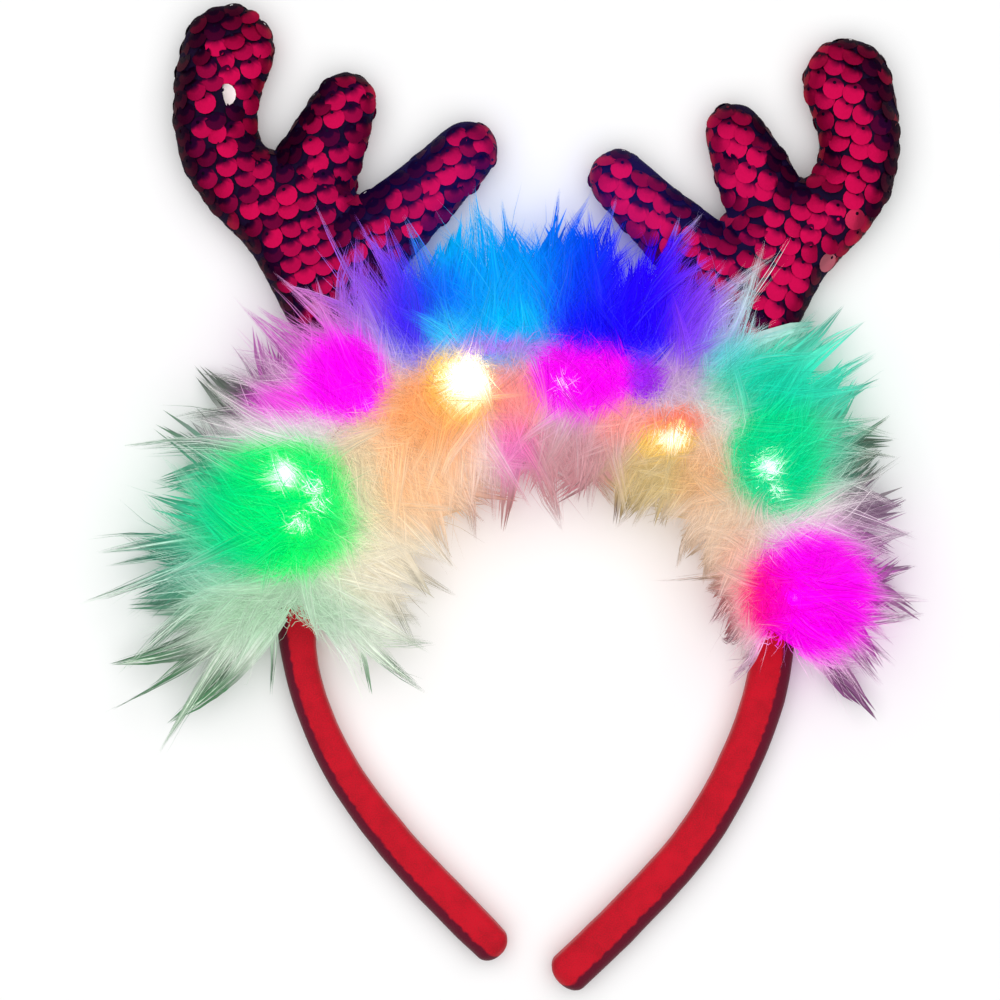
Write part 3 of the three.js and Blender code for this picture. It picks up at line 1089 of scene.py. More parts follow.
@dataclass
class Antler:
    """A stuffed cloth antler and the sequins sewn in rows all round it.

    Turned holds X, Y and tone of sequins that stand out: a tone over pale_from shows the pale side, which
    stands in for a painted glint, and one over rolled_from is rolled by flip. Lengths of rows, lifts and drops
    are millimetres.
    """

    shape: AntlerShape
    node: str
    turned: tuple[tuple[float, float, float], ...]
    tones: SequinTone
    seed: int
    voxel: float = 2.0
    grown: float = 20.0
    frames: int = 14
    tied: tuple[float, float] = (14.0, 30.0)
    stuffing: float = 2.5
    swell: float = 1.2
    draw_in: float = 0.15
    ease: float = 0.3
    rest_z: float = 0.35
    sequin_radius: float = 3.1
    hole_radius: float = 0.5
    hole_up: float = 1.75
    dish: float = 0.18
    most_drop: float = 2.4
    feel: float = 0.85
    pitch: float = 5.5
    row_gap: float = 4.6
    row_half: float = 90.0
    row_step: float = 0.25
    row_levels: tuple[float, float] = (-24.0, 150.0)
    shortest_row: float = 3.5
    thinnest: float = 0.05
    jitter: tuple[float, float] = (0.07, 0.5)
    lift: float = 0.62
    edge_lift: float = 0.1
    lift_chance: float = 0.06
    lean: float = 24.0
    seam: float = 0.12
    face_from: tuple[float, float] = (0.5, 0.8)
    pale_from: float = 1.2
    rolled_from: float = 1.7
    flip: float = 32.0
    tilt: float = 6.5
    sway: float = 6.5
    spin: float = 12.0
    # Painted shade on the upper part of a sequin, under the row above: how much it darkens, and over what
    # height.
    tuck_shade: float = 0.85
    tuck_shade_from: tuple[float, float] = (0.5, 1.8)
    floor: float = 0.05
    sides: int = 14
    spill_at: tuple[float, float] = (3.0, 32.0)
    spill_reach: tuple[float, float] = (42.0, 32.0)
    backing: BackingFinish = BackingFinish()

    def stuff(self, piece: Piece) -> None:
        """Fill the cloth skin by simulation, at many times its size, and keep the result.

        Args:
            piece: The skin, a closed mesh.
        """
        flat = take_points(piece)
        out = np.empty(len(flat) * 3, np.float32)
        piece.data.vertices.foreach_get("normal", out)
        put_points(piece, flat * self.grown)
        cloth = piece.modifiers.new("stuffing", "CLOTH").settings
        cloth.quality = 5
        cloth.mass = 0.3
        cloth.use_pressure = True
        cloth.uniform_pressure_force = self.stuffing
        cloth.effector_weights.gravity = 0.0
        scene = bpy.context.scene
        for frame in range(1, self.frames + 1):
            scene.frame_set(frame)
        apply_modifiers(piece)
        scene.frame_set(1)
        moved = (take_points(piece) / self.grown - flat) * np.array([self.draw_in, self.draw_in, 1.0])
        far = np.linalg.norm(moved, axis=1, keepdims=True)
        seat = np.array(self.shape.seat)
        free = smooth_step(*self.tied, np.linalg.norm(flat[:, :2] - seat, axis=1))[:, None]
        kept = flat + moved * np.minimum(1.0, self.swell / np.maximum(far, 1e-6)) * free
        kept[:, :2] += self.ease * out.reshape(-1, 3)[:, :2] * free
        kept[:, 2] = np.maximum(kept[:, 2], self.rest_z)
        LOG.info("%s swells by %.2f mm, %.2f mm at most", self.node, far.mean(), far.max())
        put_points(piece, kept)

    def build_body(self, source: Piece) -> Piece:
        """Build the stuffed body from its CAD solid.

        Args:
            source: The CAD node.

        Returns:
            The piece.
        """
        name = f"stuffed_{self.node}"
        piece = bpy.data.objects.new(name, source.data.copy())
        bpy.context.scene.collection.objects.link(piece)
        skin = bmesh.new()
        skin.from_mesh(piece.data)
        bmesh.ops.remove_doubles(skin, verts=skin.verts, dist=1e-6)
        skin.to_mesh(piece.data)
        skin.free()
        remesh = piece.modifiers.new("skin", "REMESH")
        remesh.mode = "VOXEL"
        remesh.voxel_size = self.voxel * MM
        relax = piece.modifiers.new("relax", "SMOOTH")
        relax.factor = 0.5
        relax.iterations = 2
        apply_modifiers(piece)
        self.stuff(piece)
        for kind in list(piece.data.attributes):
            if kind.name not in ("position", "sharp_face") and not kind.name.startswith("."):
                piece.data.attributes.remove(kind)
        finer = piece.modifiers.new("finer", "SUBSURF")
        finer.levels = finer.render_levels = 1
        apply_modifiers(piece)
        put_values(piece, "spill", self.spill(take_points(piece)))
        dress(piece, self.backing.make())
        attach(piece, BODY)
        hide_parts(self.node)
        return piece

    def spill(self, points: Array) -> Array:
        """Light of the down that falls on points: exp(-d^2) of the distance d as a share of its reach."""
        away = (points[:, :2] - np.array(self.spill_at)) / np.array(self.spill_reach)
        return np.exp(-np.sum(away * away, axis=1))

    def slant(self) -> Array:
        """Way up the cloth, which leans outwards."""
        lean = math.radians(self.lean)
        return np.array([self.shape.side.value * math.sin(lean), math.cos(lean), 0.0])

    def row_spots(self, rng: np.random.Generator) -> Array:
        """Spots along sewn rows: slanting cuts through the antler, each walked round at an even pitch.

        A cut is the closed line (x, middle +- half height(x)) along the row; spots stand at every
        pitch of its arc length, and every other row starts half a pitch later.

        Args:
            rng: Source of chance.

        Returns:
            The spots, one row each.
        """
        x = np.arange(-self.row_half, self.row_half, self.row_step)
        low, high = self.row_levels
        up = self.slant()
        along = np.array([up[1], -up[0], 0.0])
        seat = np.array([*self.shape.seat, self.shape.middle_z])
        found = []
        for number, level in enumerate(np.arange(low, high * self.shape.scale, self.row_gap)):
            row = seat + x[:, None] * along + level * up
            half = self.shape.half_height(row[:, 0], row[:, 1])
            inside = np.concatenate([[0], half > self.thinnest, [0]]).astype(int)
            for start, end in np.flatnonzero(np.diff(inside)).reshape(-1, 2):
                if (end - start) * self.row_step < self.shortest_row:
                    continue
                across = np.concatenate([x[start:end], x[start:end][::-1], x[start : start + 1]])
                rise = np.concatenate([half[start:end], -half[start:end][::-1], half[start : start + 1]])
                way = travel(np.column_stack([across, rise]))
                count = max(4, round(way[-1] / self.pitch))
                shift = 0.5 * (number % 2) + rng.normal(0.0, self.jitter[0], count)
                walk = np.mod((np.arange(count) + shift) / count, 1.0) * way[-1]
                height = level + rng.normal(0.0, self.jitter[1], (count, 1))
                place = np.interp(walk, way, across)[:, None] * along + height * up
                found.append(seat + place + np.interp(walk, way, rise)[:, None] * UP)
        return np.vstack(found)

    def meet(self, tree: BVHTree, spots: Array) -> tuple[Array, Array]:
        """Nearest places on the cloth, and the way out of it there.

        Args:
            tree: The cloth.
            spots: The spots to look from.

        Returns:
            The places and the ways out.
        """
        hits = [tree.find_nearest(Vector(spot * MM)) for spot in spots]
        return np.array([hit[0] for hit in hits]) / MM, unit(np.array([hit[1] for hit in hits]))

    def ways(self, out: Array) -> tuple[Array, Array]:
        """Ways along the cloth, up it and sideways.

        Args:
            out: The way out of the cloth at each seat.

        Returns:
            The ways up and the ways sideways.
        """
        hint = self.slant() - 0.3 * np.sign(out[:, 2])[:, None] * UP
        up = unit(hint - out * np.sum(hint * out, axis=1, keepdims=True))
        return up, np.cross(up, out)

    def steps(self, tree: BVHTree, middle: Array, way: Array) -> tuple[Array, Array]:
        """Ends of a sequin along a way, and the nearest places on the cloth.

        Args:
            tree: The cloth.
            middle: The seats.
            way: The way to step at each seat.

        Returns:
            The ends, two for each seat, and the places.
        """
        step = self.feel * self.sequin_radius
        ends = np.stack([middle - step * way, middle + step * way], axis=1)
        return ends, self.meet(tree, ends.reshape(-1, 3))[0].reshape(ends.shape)

    def draw_back(self, tree: BVHTree, spots: Array) -> tuple[Array, Array]:
        """Draw spots back from the edges until a sequin on them hardly stands out over the edge.

        Args:
            tree: The cloth.
            spots: The spots along the rows.

        Returns:
            The seats and the ways out of the cloth.
        """
        middle, out = self.meet(tree, spots)
        for _ in range(2):
            back = np.zeros_like(middle)
            for way in self.ways(out):
                ends, met = self.steps(tree, middle, way)
                back += way * np.sum((met - ends) * way[:, None], axis=(1, 2))[:, None]
            middle, out = self.meet(tree, middle + back)
        return middle, out

    def fall(self, tree: BVHTree, middle: Array, out: Array, way: Array) -> Array:
        """Bend of the cloth to both sides along a way: its drop at one step by the square of the step.

        Args:
            tree: The cloth.
            middle: The seats.
            out: The way out of the cloth at each seat.
            way: The way to step at each seat.

        Returns:
            The bend at each seat, against the way and along it.
        """
        met = self.steps(tree, middle, way)[1]
        drop = np.sum((middle[:, None] - met) * out[:, None], axis=2)
        return np.clip(drop, self.dish, self.most_drop) / (self.feel * self.sequin_radius) ** 2

    def mark(self, middle: Array, out: Array) -> Array:
        """Tones of the seats nearest to the turned sequins, and -1 for all others.

        Args:
            middle: The seats.
            out: The way out of the cloth at each seat.

        Returns:
            One tone for each seat.
        """
        marked = np.full(len(middle), -1.0)
        for x, y, tone in self.turned:
            away = np.hypot(middle[:, 0] - x, middle[:, 1] - y)
            marked[np.argmin(np.where(out[:, 2] > 0.3, away, np.inf))] = tone
        return marked

    def seats(self, body: Piece) -> SequinSeats:
        """Set the spots on the stuffed body.

        Args:
            body: The finished body.

        Returns:
            The seats of the sequins.
        """
        rng = np.random.default_rng(self.seed)
        tree = BVHTree.FromObject(body, bpy.context.evaluated_depsgraph_get())
        middle, out = self.draw_back(tree, self.row_spots(rng))
        kept = np.abs(out[:, 2]) > self.seam
        middle, out = middle[kept], out[kept]
        count = len(middle)
        free = smooth_step(*self.face_from, np.abs(out[:, 2]))
        up, sideways = self.ways(out)
        bend = np.hstack([self.fall(tree, middle, out, sideways), self.fall(tree, middle, out, up)])
        marked = self.mark(middle, out)
        tilt = free * np.radians(self.tilt + rng.normal(0.0, self.sway, count))
        roll = free * np.radians(rng.normal(0.0, self.sway, count))
        roll = np.where(marked > self.rolled_from, -math.radians(self.flip), roll)
        spin = free * np.radians(rng.normal(0.0, self.spin, count))
        tone = self.tones.at(self.shape, middle, out, free, rng)
        tone = np.where(marked < 0.0, tone, marked)
        up, out = turn_pair(up, out, tilt[:, None])
        sideways, out = turn_pair(sideways, out, roll[:, None])
        sideways, up = turn_pair(sideways, up, spin[:, None])
        lift = self.lift * (self.edge_lift + (1.0 - self.edge_lift) * free)
        middle = middle + out * (lift + rng.uniform(0.0, self.lift_chance, count))[:, None]
        return SequinSeats(middle, up, sideways, out, tone, bend)

    def build_sequins(self, body: Piece, foil: Material) -> Piece:
        """Build the antler's sequins as one mesh.

        A sequin is (1 - s) * hole circle + s * rim circle for s from 0 to 1 and a turn round, bent with the
        cloth by the square of the distance from its middle. Its upper part, which the row above tucks under,
        carries painted shade.

        Args:
            body: The finished body.
            foil: The sequins' material.

        Returns:
            The piece.
        """
        seats = self.seats(body)
        turn = ring_turns(self.sides)[None, :]
        share = np.array([0.0, 0.5, 1.0])[:, None]
        radius = (1 - share) * self.hole_radius + share * self.sequin_radius
        a = (radius * np.sin(turn)).ravel()
        b = (radius * np.cos(turn) + (1 - share) * self.hole_up).ravel()
        each = np.stack([a, b], axis=1)
        frames = np.stack([seats.sideways, seats.up], axis=1)
        points = seats.middle[:, None] + np.einsum("kj,njd->nkd", each, frames)
        along, upward = (a > 0.0).astype(int), 2 + (b > 0.0)
        hollow = seats.bend[:, along] * a * a + seats.bend[:, upward] * b * b
        points -= hollow[..., None] * seats.out[:, None]
        points[..., 2] = np.maximum(points[..., 2], self.floor)
        points = points.reshape(-1, 3)
        step = np.arange(len(seats.middle))[:, None, None] * len(each)
        faces = grid_faces(len(share), self.sides, True)[None] + step
        piece = put_mesh(f"sequins_{self.node}", points, [faces.reshape(-1, 4)])
        put_values(piece, "spill", self.spill(points))
        # Painted shade on the upper part of each red sequin, under the row above.
        tucked_shade = self.tuck_shade * smooth_step(*self.tuck_shade_from, b)[None, :]
        red = np.where(seats.tone > self.pale_from, 0.0, 1.0)[:, None]
        put_values(piece, "tone", seats.tone[:, None] - red * tucked_shade)
        dress(piece, foil)
        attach(piece, BODY)
        return piece


@dataclass
class AntlerCover:
    """Height of the top of both antlers over places in plan, which the down lies over."""

    shapes: tuple[AntlerShape, ...]
    low: tuple[float, float] = (-150.0, -40.0)
    size: tuple[int, int] = (290, 150)
    clear: float = 2.0
    heights: Array = field(init=False)

    def __post_init__(self) -> None:
        """Work out the height on a grid of 1 mm, softened over a few millimetres."""
        x = self.low[0] + np.arange(self.size[0])[:, None] * np.ones(self.size[1])
        y = self.low[1] + np.arange(self.size[1])[None, :] * np.ones((self.size[0], 1))
        top = np.zeros_like(x)
        for shape in self.shapes:
            half = shape.half_height(x, y)
            top = np.maximum(top, np.where(half > 0.1, shape.middle_z + half + self.clear, 0.0))
        for _ in range(3):
            padded = np.pad(top, 1, mode="edge")
            near = padded[:-2, 1:-1] + padded[2:, 1:-1] + padded[1:-1, :-2] + padded[1:-1, 2:]
            top = np.maximum(top, near / 4)
        self.heights = top

    def top(self, points: Array) -> Array:
        """Least height for down over places in plan.

        Args:
            points: Points, with X and Y first.

        Returns:
            The height at each point.
        """
        i = np.clip(np.rint(points[..., 0] - self.low[0]).astype(int), 0, self.size[0] - 1)
        j = np.clip(np.rint(points[..., 1] - self.low[1]).astype(int), 0, self.size[1] - 1)
        return self.heights[i, j]


@dataclass(frozen=True)
class Glow:
    """A patch of down that carries the colour of a light: an oval with a soft edge."""

    colour: Rgb
    at: tuple[float, float]
    reach: tuple[float, float]
    power: float = 1.0
    edge: float = 1.5


@dataclass(frozen=True)
class Spark:
    """A spot of down that shows white hot over a bead: its place and its radius."""

    x: float
    y: float
    radius: float


@dataclass(frozen=True)
class Light:
    """A light bead: its turn round the crown, its distance out, its colour, its glows and sparks."""

    node: str
    slot: str
    turn: float
    out: float
    tint: Rgb
    glows: tuple[Glow, ...]
    sparks: tuple[Spark, ...] = ()


LIGHTS: tuple[Light, ...] = (
    Light(
        "led_green_left", "led_green", -62.7, 3.4, rgb(0, 255, 110),
        (
            Glow(rgb(0, 250, 126), (-70.0, -44.5), (17.5, 16.0), 1.4, 2.2),
            Glow(rgb(0, 212, 152), (-80.0, -46.0), (14.0, 14.0), 0.9, 1.6),
            Glow(rgb(80, 222, 182), (-93.0, -52.0), (16.0, 22.0), 0.15),
            Glow(rgb(176, 216, 182), (-74.0, -74.0), (22.0, 11.0), 0.35),
        ),
        (
            Spark(-69.5, -35.3, 3.2),
            Spark(-62.4, -38.5, 1.8),
            Spark(-66.4, -48.7, 1.6),
            Spark(-61.0, -43.6, 1.2),
        ),
    ),
    Light(
        "led_magenta_left", "led_magenta", -41.5, 3.8, rgb(255, 0, 235),
        (
            Glow(rgb(255, 0, 250), (-54.2, -8.0), (11.0, 10.5), 1.5, 2.4),
            Glow(rgb(248, 50, 236), (-70.0, -15.5), (9.0, 4.5), 0.55, 1.4),
            Glow(rgb(222, 92, 214), (-68.0, 8.0), (17.0, 14.0), 0.32),
            Glow(rgb(240, 224, 236), (-76.0, -23.0), (17.0, 4.5), 0.3),
            Glow(rgb(150, 80, 235), (-46.0, 20.0), (12.0, 15.0), 0.5),
            Glow(rgb(184, 104, 240), (-51.0, 31.0), (13.0, 10.0), 0.5),
            Glow(rgb(70, 40, 245), (-35.0, 15.0), (8.0, 16.0), 0.9),
        ),
    ),
    Light(
        "led_warm_left", "led_warm", -17.9, -4.6, rgb(255, 215, 140),
        (
            Glow(rgb(255, 215, 90), (-21.5, -10.0), (8.5, 8.5), 1.2, 2.0),
            Glow(rgb(255, 184, 116), (-30.0, -17.0), (13.0, 10.0), 0.6),
            Glow(rgb(255, 206, 148), (-36.0, -33.0), (18.0, 17.0), 0.34),
            Glow(rgb(242, 230, 200), (-44.0, -56.0), (18.0, 16.0), 0.2),
            Glow(rgb(234, 228, 200), (-49.0, -38.0), (6.0, 13.0), 0.5),
            Glow(rgb(255, 160, 148), (-6.0, -13.0), (8.0, 9.0), 0.5),
            Glow(rgb(222, 130, 238), (-13.0, 1.0), (13.0, 2.2), 1.0),
        ),
        (Spark(-19.6, -8.4, 6.4),),
    ),
    Light(
        "led_azure", "led_azure", -6.5, 4.6, rgb(0, 135, 255),
        (
            Glow(rgb(0, 174, 250), (-13.0, 22.0), (20.0, 22.0), 1.3, 2.2),
            Glow(rgb(0, 185, 235), (-22.0, 33.0), (12.0, 9.0), 0.9),
            Glow(rgb(0, 118, 244), (1.0, 34.0), (14.0, 13.0), 1.2),
            Glow(rgb(0, 215, 255), (-8.0, 7.5), (8.0, 5.0), 1.4),
            Glow(rgb(60, 215, 255), (-25.0, 5.5), (6.0, 5.0), 1.4),
            Glow(rgb(10, 60, 248), (-27.5, 14.5), (9.0, 8.0), 1.3),
        ),
    ),
    Light(
        "led_magenta_middle", "led_magenta", 7.2, -6.8, rgb(255, 0, 235),
        (
            Glow(rgb(255, 0, 250), (12.8, -7.7), (13.0, 9.0), 1.6, 2.4),
            Glow(rgb(175, 30, 245), (30.0, -8.3), (5.0, 5.0), 0.9),
            Glow(rgb(195, 130, 215), (39.0, -7.0), (10.0, 8.0), 0.16),
            Glow(rgb(246, 124, 206), (-6.3, -25.0), (6.0, 9.0), 0.4),
            Glow(rgb(206, 130, 138), (9.0, -30.0), (15.0, 11.0), 0.3),
            Glow(rgb(214, 146, 142), (-6.0, -42.0), (12.0, 9.0), 0.25),
            Glow(rgb(168, 142, 240), (47.0, 6.0), (9.0, 9.0), 0.25),
            Glow(rgb(190, 125, 240), (48.0, 20.0), (7.0, 12.0), 0.25),
        ),
        (Spark(7.7, -9.6, 1.1),),
    ),
    Light(
        "led_blue", "led_blue", 19.1, 4.6, rgb(40, 0, 255),
        (
            Glow(rgb(40, 0, 255), (29.3, 16.5), (13.0, 17.0), 1.5, 2.2),
            Glow(rgb(0, 60, 247), (11.5, 22.0), (13.0, 18.0), 1.0),
            Glow(rgb(20, 0, 255), (17.0, 6.0), (9.0, 7.0), 1.4),
            Glow(rgb(140, 56, 245), (41.5, 14.0), (7.0, 15.0), 1.1),
        ),
    ),
    Light(
        "led_warm_right", "led_warm", 39.4, -6.8, rgb(255, 215, 140),
        (
            Glow(rgb(255, 215, 110), (36.5, -25.0), (7.0, 4.0), 1.2, 2.0),
            Glow(rgb(255, 136, 104), (38.5, -20.0), (8.0, 3.6), 0.5),
            Glow(rgb(255, 165, 150), (24.0, -19.0), (8.0, 6.0), 0.4),
            Glow(rgb(214, 186, 98), (32.0, -35.0), (13.0, 10.0), 0.3),
            Glow(rgb(236, 196, 152), (50.0, -50.0), (12.0, 16.0), 0.2),
            Glow(rgb(244, 188, 134), (46.5, -34.0), (8.0, 10.0), 0.25),
        ),
        (Spark(38.8, -24.8, 2.2), Spark(35.3, -24.2, 1.2)),
    ),
    Light(
        "led_green_right", "led_green", 59.7, 3.4, rgb(0, 235, 120),
        (
            Glow(rgb(0, 226, 158), (67.4, -29.4), (11.5, 13.5), 1.4, 2.2),
            Glow(rgb(14, 218, 182), (68.0, -10.0), (17.0, 9.0), 0.7, 1.6),
            Glow(rgb(104, 232, 204), (80.5, -4.0), (13.0, 12.0), 0.4),
            Glow(rgb(90, 212, 176), (80.5, -25.0), (8.0, 12.0), 0.35),
            Glow(rgb(104, 222, 222), (54.0, -3.0), (8.0, 6.0), 0.4),
            Glow(rgb(175, 228, 236), (63.0, 9.0), (8.0, 8.0), 0.2),
        ),
        (Spark(64.4, -33.1, 2.6), Spark(67.3, -39.6, 1.2)),
    ),
    Light(
        "led_magenta_right", "led_magenta", 89.0, 3.4, rgb(255, 0, 235),
        (
            Glow(rgb(255, 0, 245), (77.5, -69.0), (14.5, 15.5), 1.6, 2.2),
            Glow(rgb(255, 0, 120), (65.5, -69.0), (6.0, 9.0), 1.0),
            Glow(rgb(215, 140, 210), (92.0, -54.0), (13.0, 14.0), 0.10),
            Glow(rgb(245, 150, 140), (57.0, -66.0), (6.0, 16.0), 0.14),
        ),
    ),
)


@dataclass
class LightString:
    """The beads on their wire over the core of the trim, and the light they give to the down.

    Purity keeps the glows' colours apart where they meet, gain is how fast light grows with them,
    faint is the weight of the wide glow round each bead, and trace that of the down's own grey.
    """

    line: BandLine
    bead_radius: float = 2.4
    wire_radius: float = 0.4
    gap: float = 0.3
    wire_turns: tuple[float, float] = (-92.0, 100.0)
    wire_steps: int = 700
    wire_sides: int = 7
    twist: float = 4.5
    strand_share: float = 0.9
    bead_rings: int = 16
    bead_sides: int = 20
    far_reach: float = 34.0
    purity: float = 1.6
    gain: float = 4.0
    faint: float = 0.004
    trace: float = 1e-5
    grey: float = 0.7
    lights: tuple[Light, ...] = LIGHTS

    def bead_middles(self, core: "DownCore") -> Array:
        """Middles of the beads, which stand on the wire over the core.

        Args:
            core: The core of the trim.

        Returns:
            One row for each light.
        """
        turn = np.array([light.turn for light in self.lights])
        out = np.array([light.out for light in self.lights])
        height = core.top(out) + 2 * (self.gap + self.wire_radius) + self.bead_radius
        return np.column_stack([self.line.crown_point(turn, out), height])

    def shine(self, points: Array, beads: Array) -> tuple[Array, Array]:
        """Tint and light of the down at points.

        Each glow weighs power * exp(-(dx^2/rx^2 + dy^2/ry^2)^edge). The tint is the mean of the
        glows' colours by a power of the weight, with a faint wide glow round each bead, and the
        light is about 1 - exp(-gain * sum of weights), and up to 1 more in a spark.

        Args:
            points: Points, one row each.
            beads: Middles of the beads.

        Returns:
            The tint of each point, and its light from 0 to 2.
        """
        light_sum = np.zeros(len(points))
        total = np.full(len(points), self.trace)
        colour = np.full((len(points), 3), self.grey * self.trace)
        for light in self.lights:
            for glow in light.glows:
                dx = (points[:, 0] - glow.at[0]) / glow.reach[0]
                dy = (points[:, 1] - glow.at[1]) / glow.reach[1]
                weight = glow.power * np.exp(-((dx * dx + dy * dy) ** glow.edge))
                light_sum += weight
                total += weight**self.purity
                colour += (weight**self.purity)[:, None] * np.array(glow.colour)
        heat = np.zeros(len(points))
        for light, bead in zip(self.lights, beads):
            far = np.hypot(points[:, 0] - bead[0], points[:, 1] - bead[1]) / self.far_reach
            weight = self.faint * np.exp(-far * far)
            total += weight
            colour += weight[:, None] * np.array(light.tint)
            for spark in light.sparks:
                away = np.hypot(points[:, 0] - spark.x, points[:, 1] - spark.y) / spark.radius
                heat = np.maximum(heat, np.exp(-(away**4)))
        lit = np.minimum(1.0, 1.04 * (1.0 - np.exp(-self.gain * light_sum)))
        return colour / total[:, None], lit + np.where(heat > 0.02, heat, 0.0)

    def build_beads(self, core: "DownCore") -> list[Piece]:
        """Build the beads, each a smooth drop: a half circle turned about the wire's direction.

        Args:
            core: The core of the trim.

        Returns:
            The pieces.
        """
        made = []
        polar = np.linspace(0.0, math.pi, self.bead_rings)[1:-1]
        turn = ring_turns(self.bead_sides)
        for light, middle in zip(self.lights, self.bead_middles(core)):
            angle = math.radians(-light.turn)
            along = np.array([math.cos(angle), math.sin(angle), 0.0])
            across = np.array([-along[1], along[0], 0.0])
            ring = np.cos(turn)[:, None] * across + np.sin(turn)[:, None] * UP
            rings = middle + self.bead_radius * (
                np.cos(polar)[:, None, None] * along + np.sin(polar)[:, None, None] * ring[None]
            )
            points, faces = closed_tube(rings)
            piece = put_mesh(f"bead_{light.node}", points, faces)
            hot = 1.0 if light.sparks else 0.0
            put_values(piece, "heat", hot * (1.0 - np.abs((points - middle) @ along) / self.bead_radius))
            dress(piece, BeadFinish(f"{light.node} drop", light.tint).make())
            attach(piece, BODY)
            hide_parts(light.node)
            made.append(piece)
        return made

    def build_wire(self, core: "DownCore") -> Piece:
        """Build the wire as two fine strands twisted round its route over the core.

        A strand is at the route + w/2 * (cos p sideways + sin p up), where p turns once every few
        millimetres, and it is a tube of a little less than radius w/2.

        Args:
            core: The core of the trim.

        Returns:
            The piece.
        """
        start, end = ((turn, 0.0) for turn in self.wire_turns)
        knots = [start, *((light.turn, light.out) for light in self.lights), end]
        plan = spline(knots, self.wire_steps)
        flat = self.line.crown_point(plan[:, 0], plan[:, 1])
        route = np.column_stack([flat, core.top(plan[:, 1]) + self.gap + self.wire_radius])
        along = unit(np.gradient(route, axis=0))
        sideways = unit(np.cross(along, UP))
        over = np.cross(sideways, along)
        way = travel(route)
        turn = ring_turns(self.wire_sides)[None, :, None]
        ring = np.cos(turn) * sideways[:, None] + np.sin(turn) * over[:, None]
        half = self.wire_radius / 2
        points, faces, first = [], [], 0
        for offset in (0.0, math.pi):
            phase = (way * FULL_TURN / self.twist + offset)[:, None]
            middle = route + half * (np.cos(phase) * sideways + np.sin(phase) * over)
            body, parts = closed_tube(middle[:, None] + self.strand_share * half * ring)
            points.append(body)
            faces.extend(part + first for part in parts)
            first += len(body)
        piece = put_mesh("twisted_wire", np.vstack(points), faces)
        tint, light = self.shine(np.vstack(points), self.bead_middles(core))
        put_colours(piece, "tint", tint)
        put_values(piece, "light", light)
        dress(piece, WireFinish().make())
        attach(piece, BODY)
        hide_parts("light_wire")
        return piece


@dataclass
class DownCore:
    """The domed core of down on the front of the band, which carries the strands."""

    line: BandLine
    start: float = 0.25
    end: float = 0.745
    half_width: float = 10.0
    height: float = 11.5
    fullness: float = 3.0
    base: float = 10.3
    hollow: float = 0.35
    glow: float = 0.9
    # Painted shade: the core, which lies under the strands, is drawn part way to the down's shade colour.
    tone: float = 0.75
    rings: int = 150
    around: int = 36

    def at(self, way: Array) -> Stations:
        """Stations at shares of the way along the trim."""
        return self.line.at(self.start + (self.end - self.start) * way)

    def top(self, out: Array) -> Array:
        """Height of the dome: base + h * (1 - |out / half width|^n)^(1/n)."""
        share = np.clip(np.abs(out) / self.half_width, 0.0, 1.0)
        return self.base + self.height * (1.0 - share**self.fullness) ** (1.0 / self.fullness)

    def build(self, string: LightString, material: Material) -> Piece:
        """Build the core: the dome's section carried along the line, with shallow hollows in it.

        Args:
            string: The lights in it.
            material: Its material.

        Returns:
            The piece.
        """
        turn = ring_turns(self.around)[None, :]
        way = np.linspace(0.0, 1.0, self.rings)
        spots = self.at(way)
        near_end = np.clip(np.abs(2 * way - 1) * 1.04 - 0.04, 0.0, 1.0)
        ends = np.sqrt(np.clip(1.0 - near_end**24, 0.02, 1.0))[:, None]
        hollow = 1.0 + np.sin(way[:, None] * 61 + 2 * turn) * np.sin(way[:, None] * 37 - 3 * turn)
        ridge = np.maximum(np.sin(turn), 0.0) ** (2 / self.fullness)
        out = np.sign(np.cos(turn)) * np.abs(np.cos(turn)) ** (2 / self.fullness) * self.half_width * ends
        up = self.base + self.height * ridge * ends - self.hollow * hollow * ridge
        points = spots.place[:, None] + spots.outward[:, None] * out[..., None]
        points[..., 2] = np.maximum(up, self.base)
        flat, faces = closed_tube(points)
        piece = put_mesh("down_core", flat, faces)
        tint, light = string.shine(flat, string.bead_middles(self))
        put_colours(piece, "tint", tint)
        put_values(piece, "light", np.minimum(light, 1.0) * self.glow)
        put_values(piece, "tone", np.full(len(flat), self.tone))
        dress(piece, material)
        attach(piece, BODY)
        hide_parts("feather_trim")
        return piece


class Stretch(Enum):
    """The stretches of the trim, each one mesh of strands, by share of the way along it."""

    LEFT_END = (0.0, 0.25)
    LEFT_CROWN = (0.25, 0.5)
    RIGHT_CROWN = (0.5, 0.75)
    RIGHT_END = (0.75, 1.0)


@dataclass(frozen=True)
class Strands:
    """Lines of strands by strand, point and axis, with half widths, tones that carry painted shade, roots and
    flat sides.
    """

    lines: Array
    half_widths: Array
    tone: Array
    roots: Array
    faces: Array

    def rows(self) -> tuple[Array, ...]:
        """The arrays, in the order of the fields."""
        return self.lines, self.half_widths, self.tone, self.roots, self.faces


@dataclass(frozen=True)
class Tufts:
    """Tufts of one growth: way along the trim, angle round it, reach, curl, lean, and a chance number that
    weighs the painted shade of their strands and picks those left out over the antlers.
    """

    way: Array
    fan: Array
    reach: Array
    curl: Array
    lean: Array
    dark: Array


@dataclass(frozen=True)
class Growth:
    """One kind of growth on a stretch: its tufts and strands, and how they lie.

    Tufts are crowded to the sides by push, below 1. Gather is the share of the spread lost at the
    tip of a tuft, stray how far strands leave their tuft, loose the share of strands that go their
    own way, and dark the shade at the tips. Flat strands are broad vanes that lie level.
    """

    strands: int
    along: int
    around: int
    push: float
    reach: float
    vary: float
    spread: float
    gather: float
    stray: float
    loose: float
    width: float
    dark: float
    flat: float = 0.0


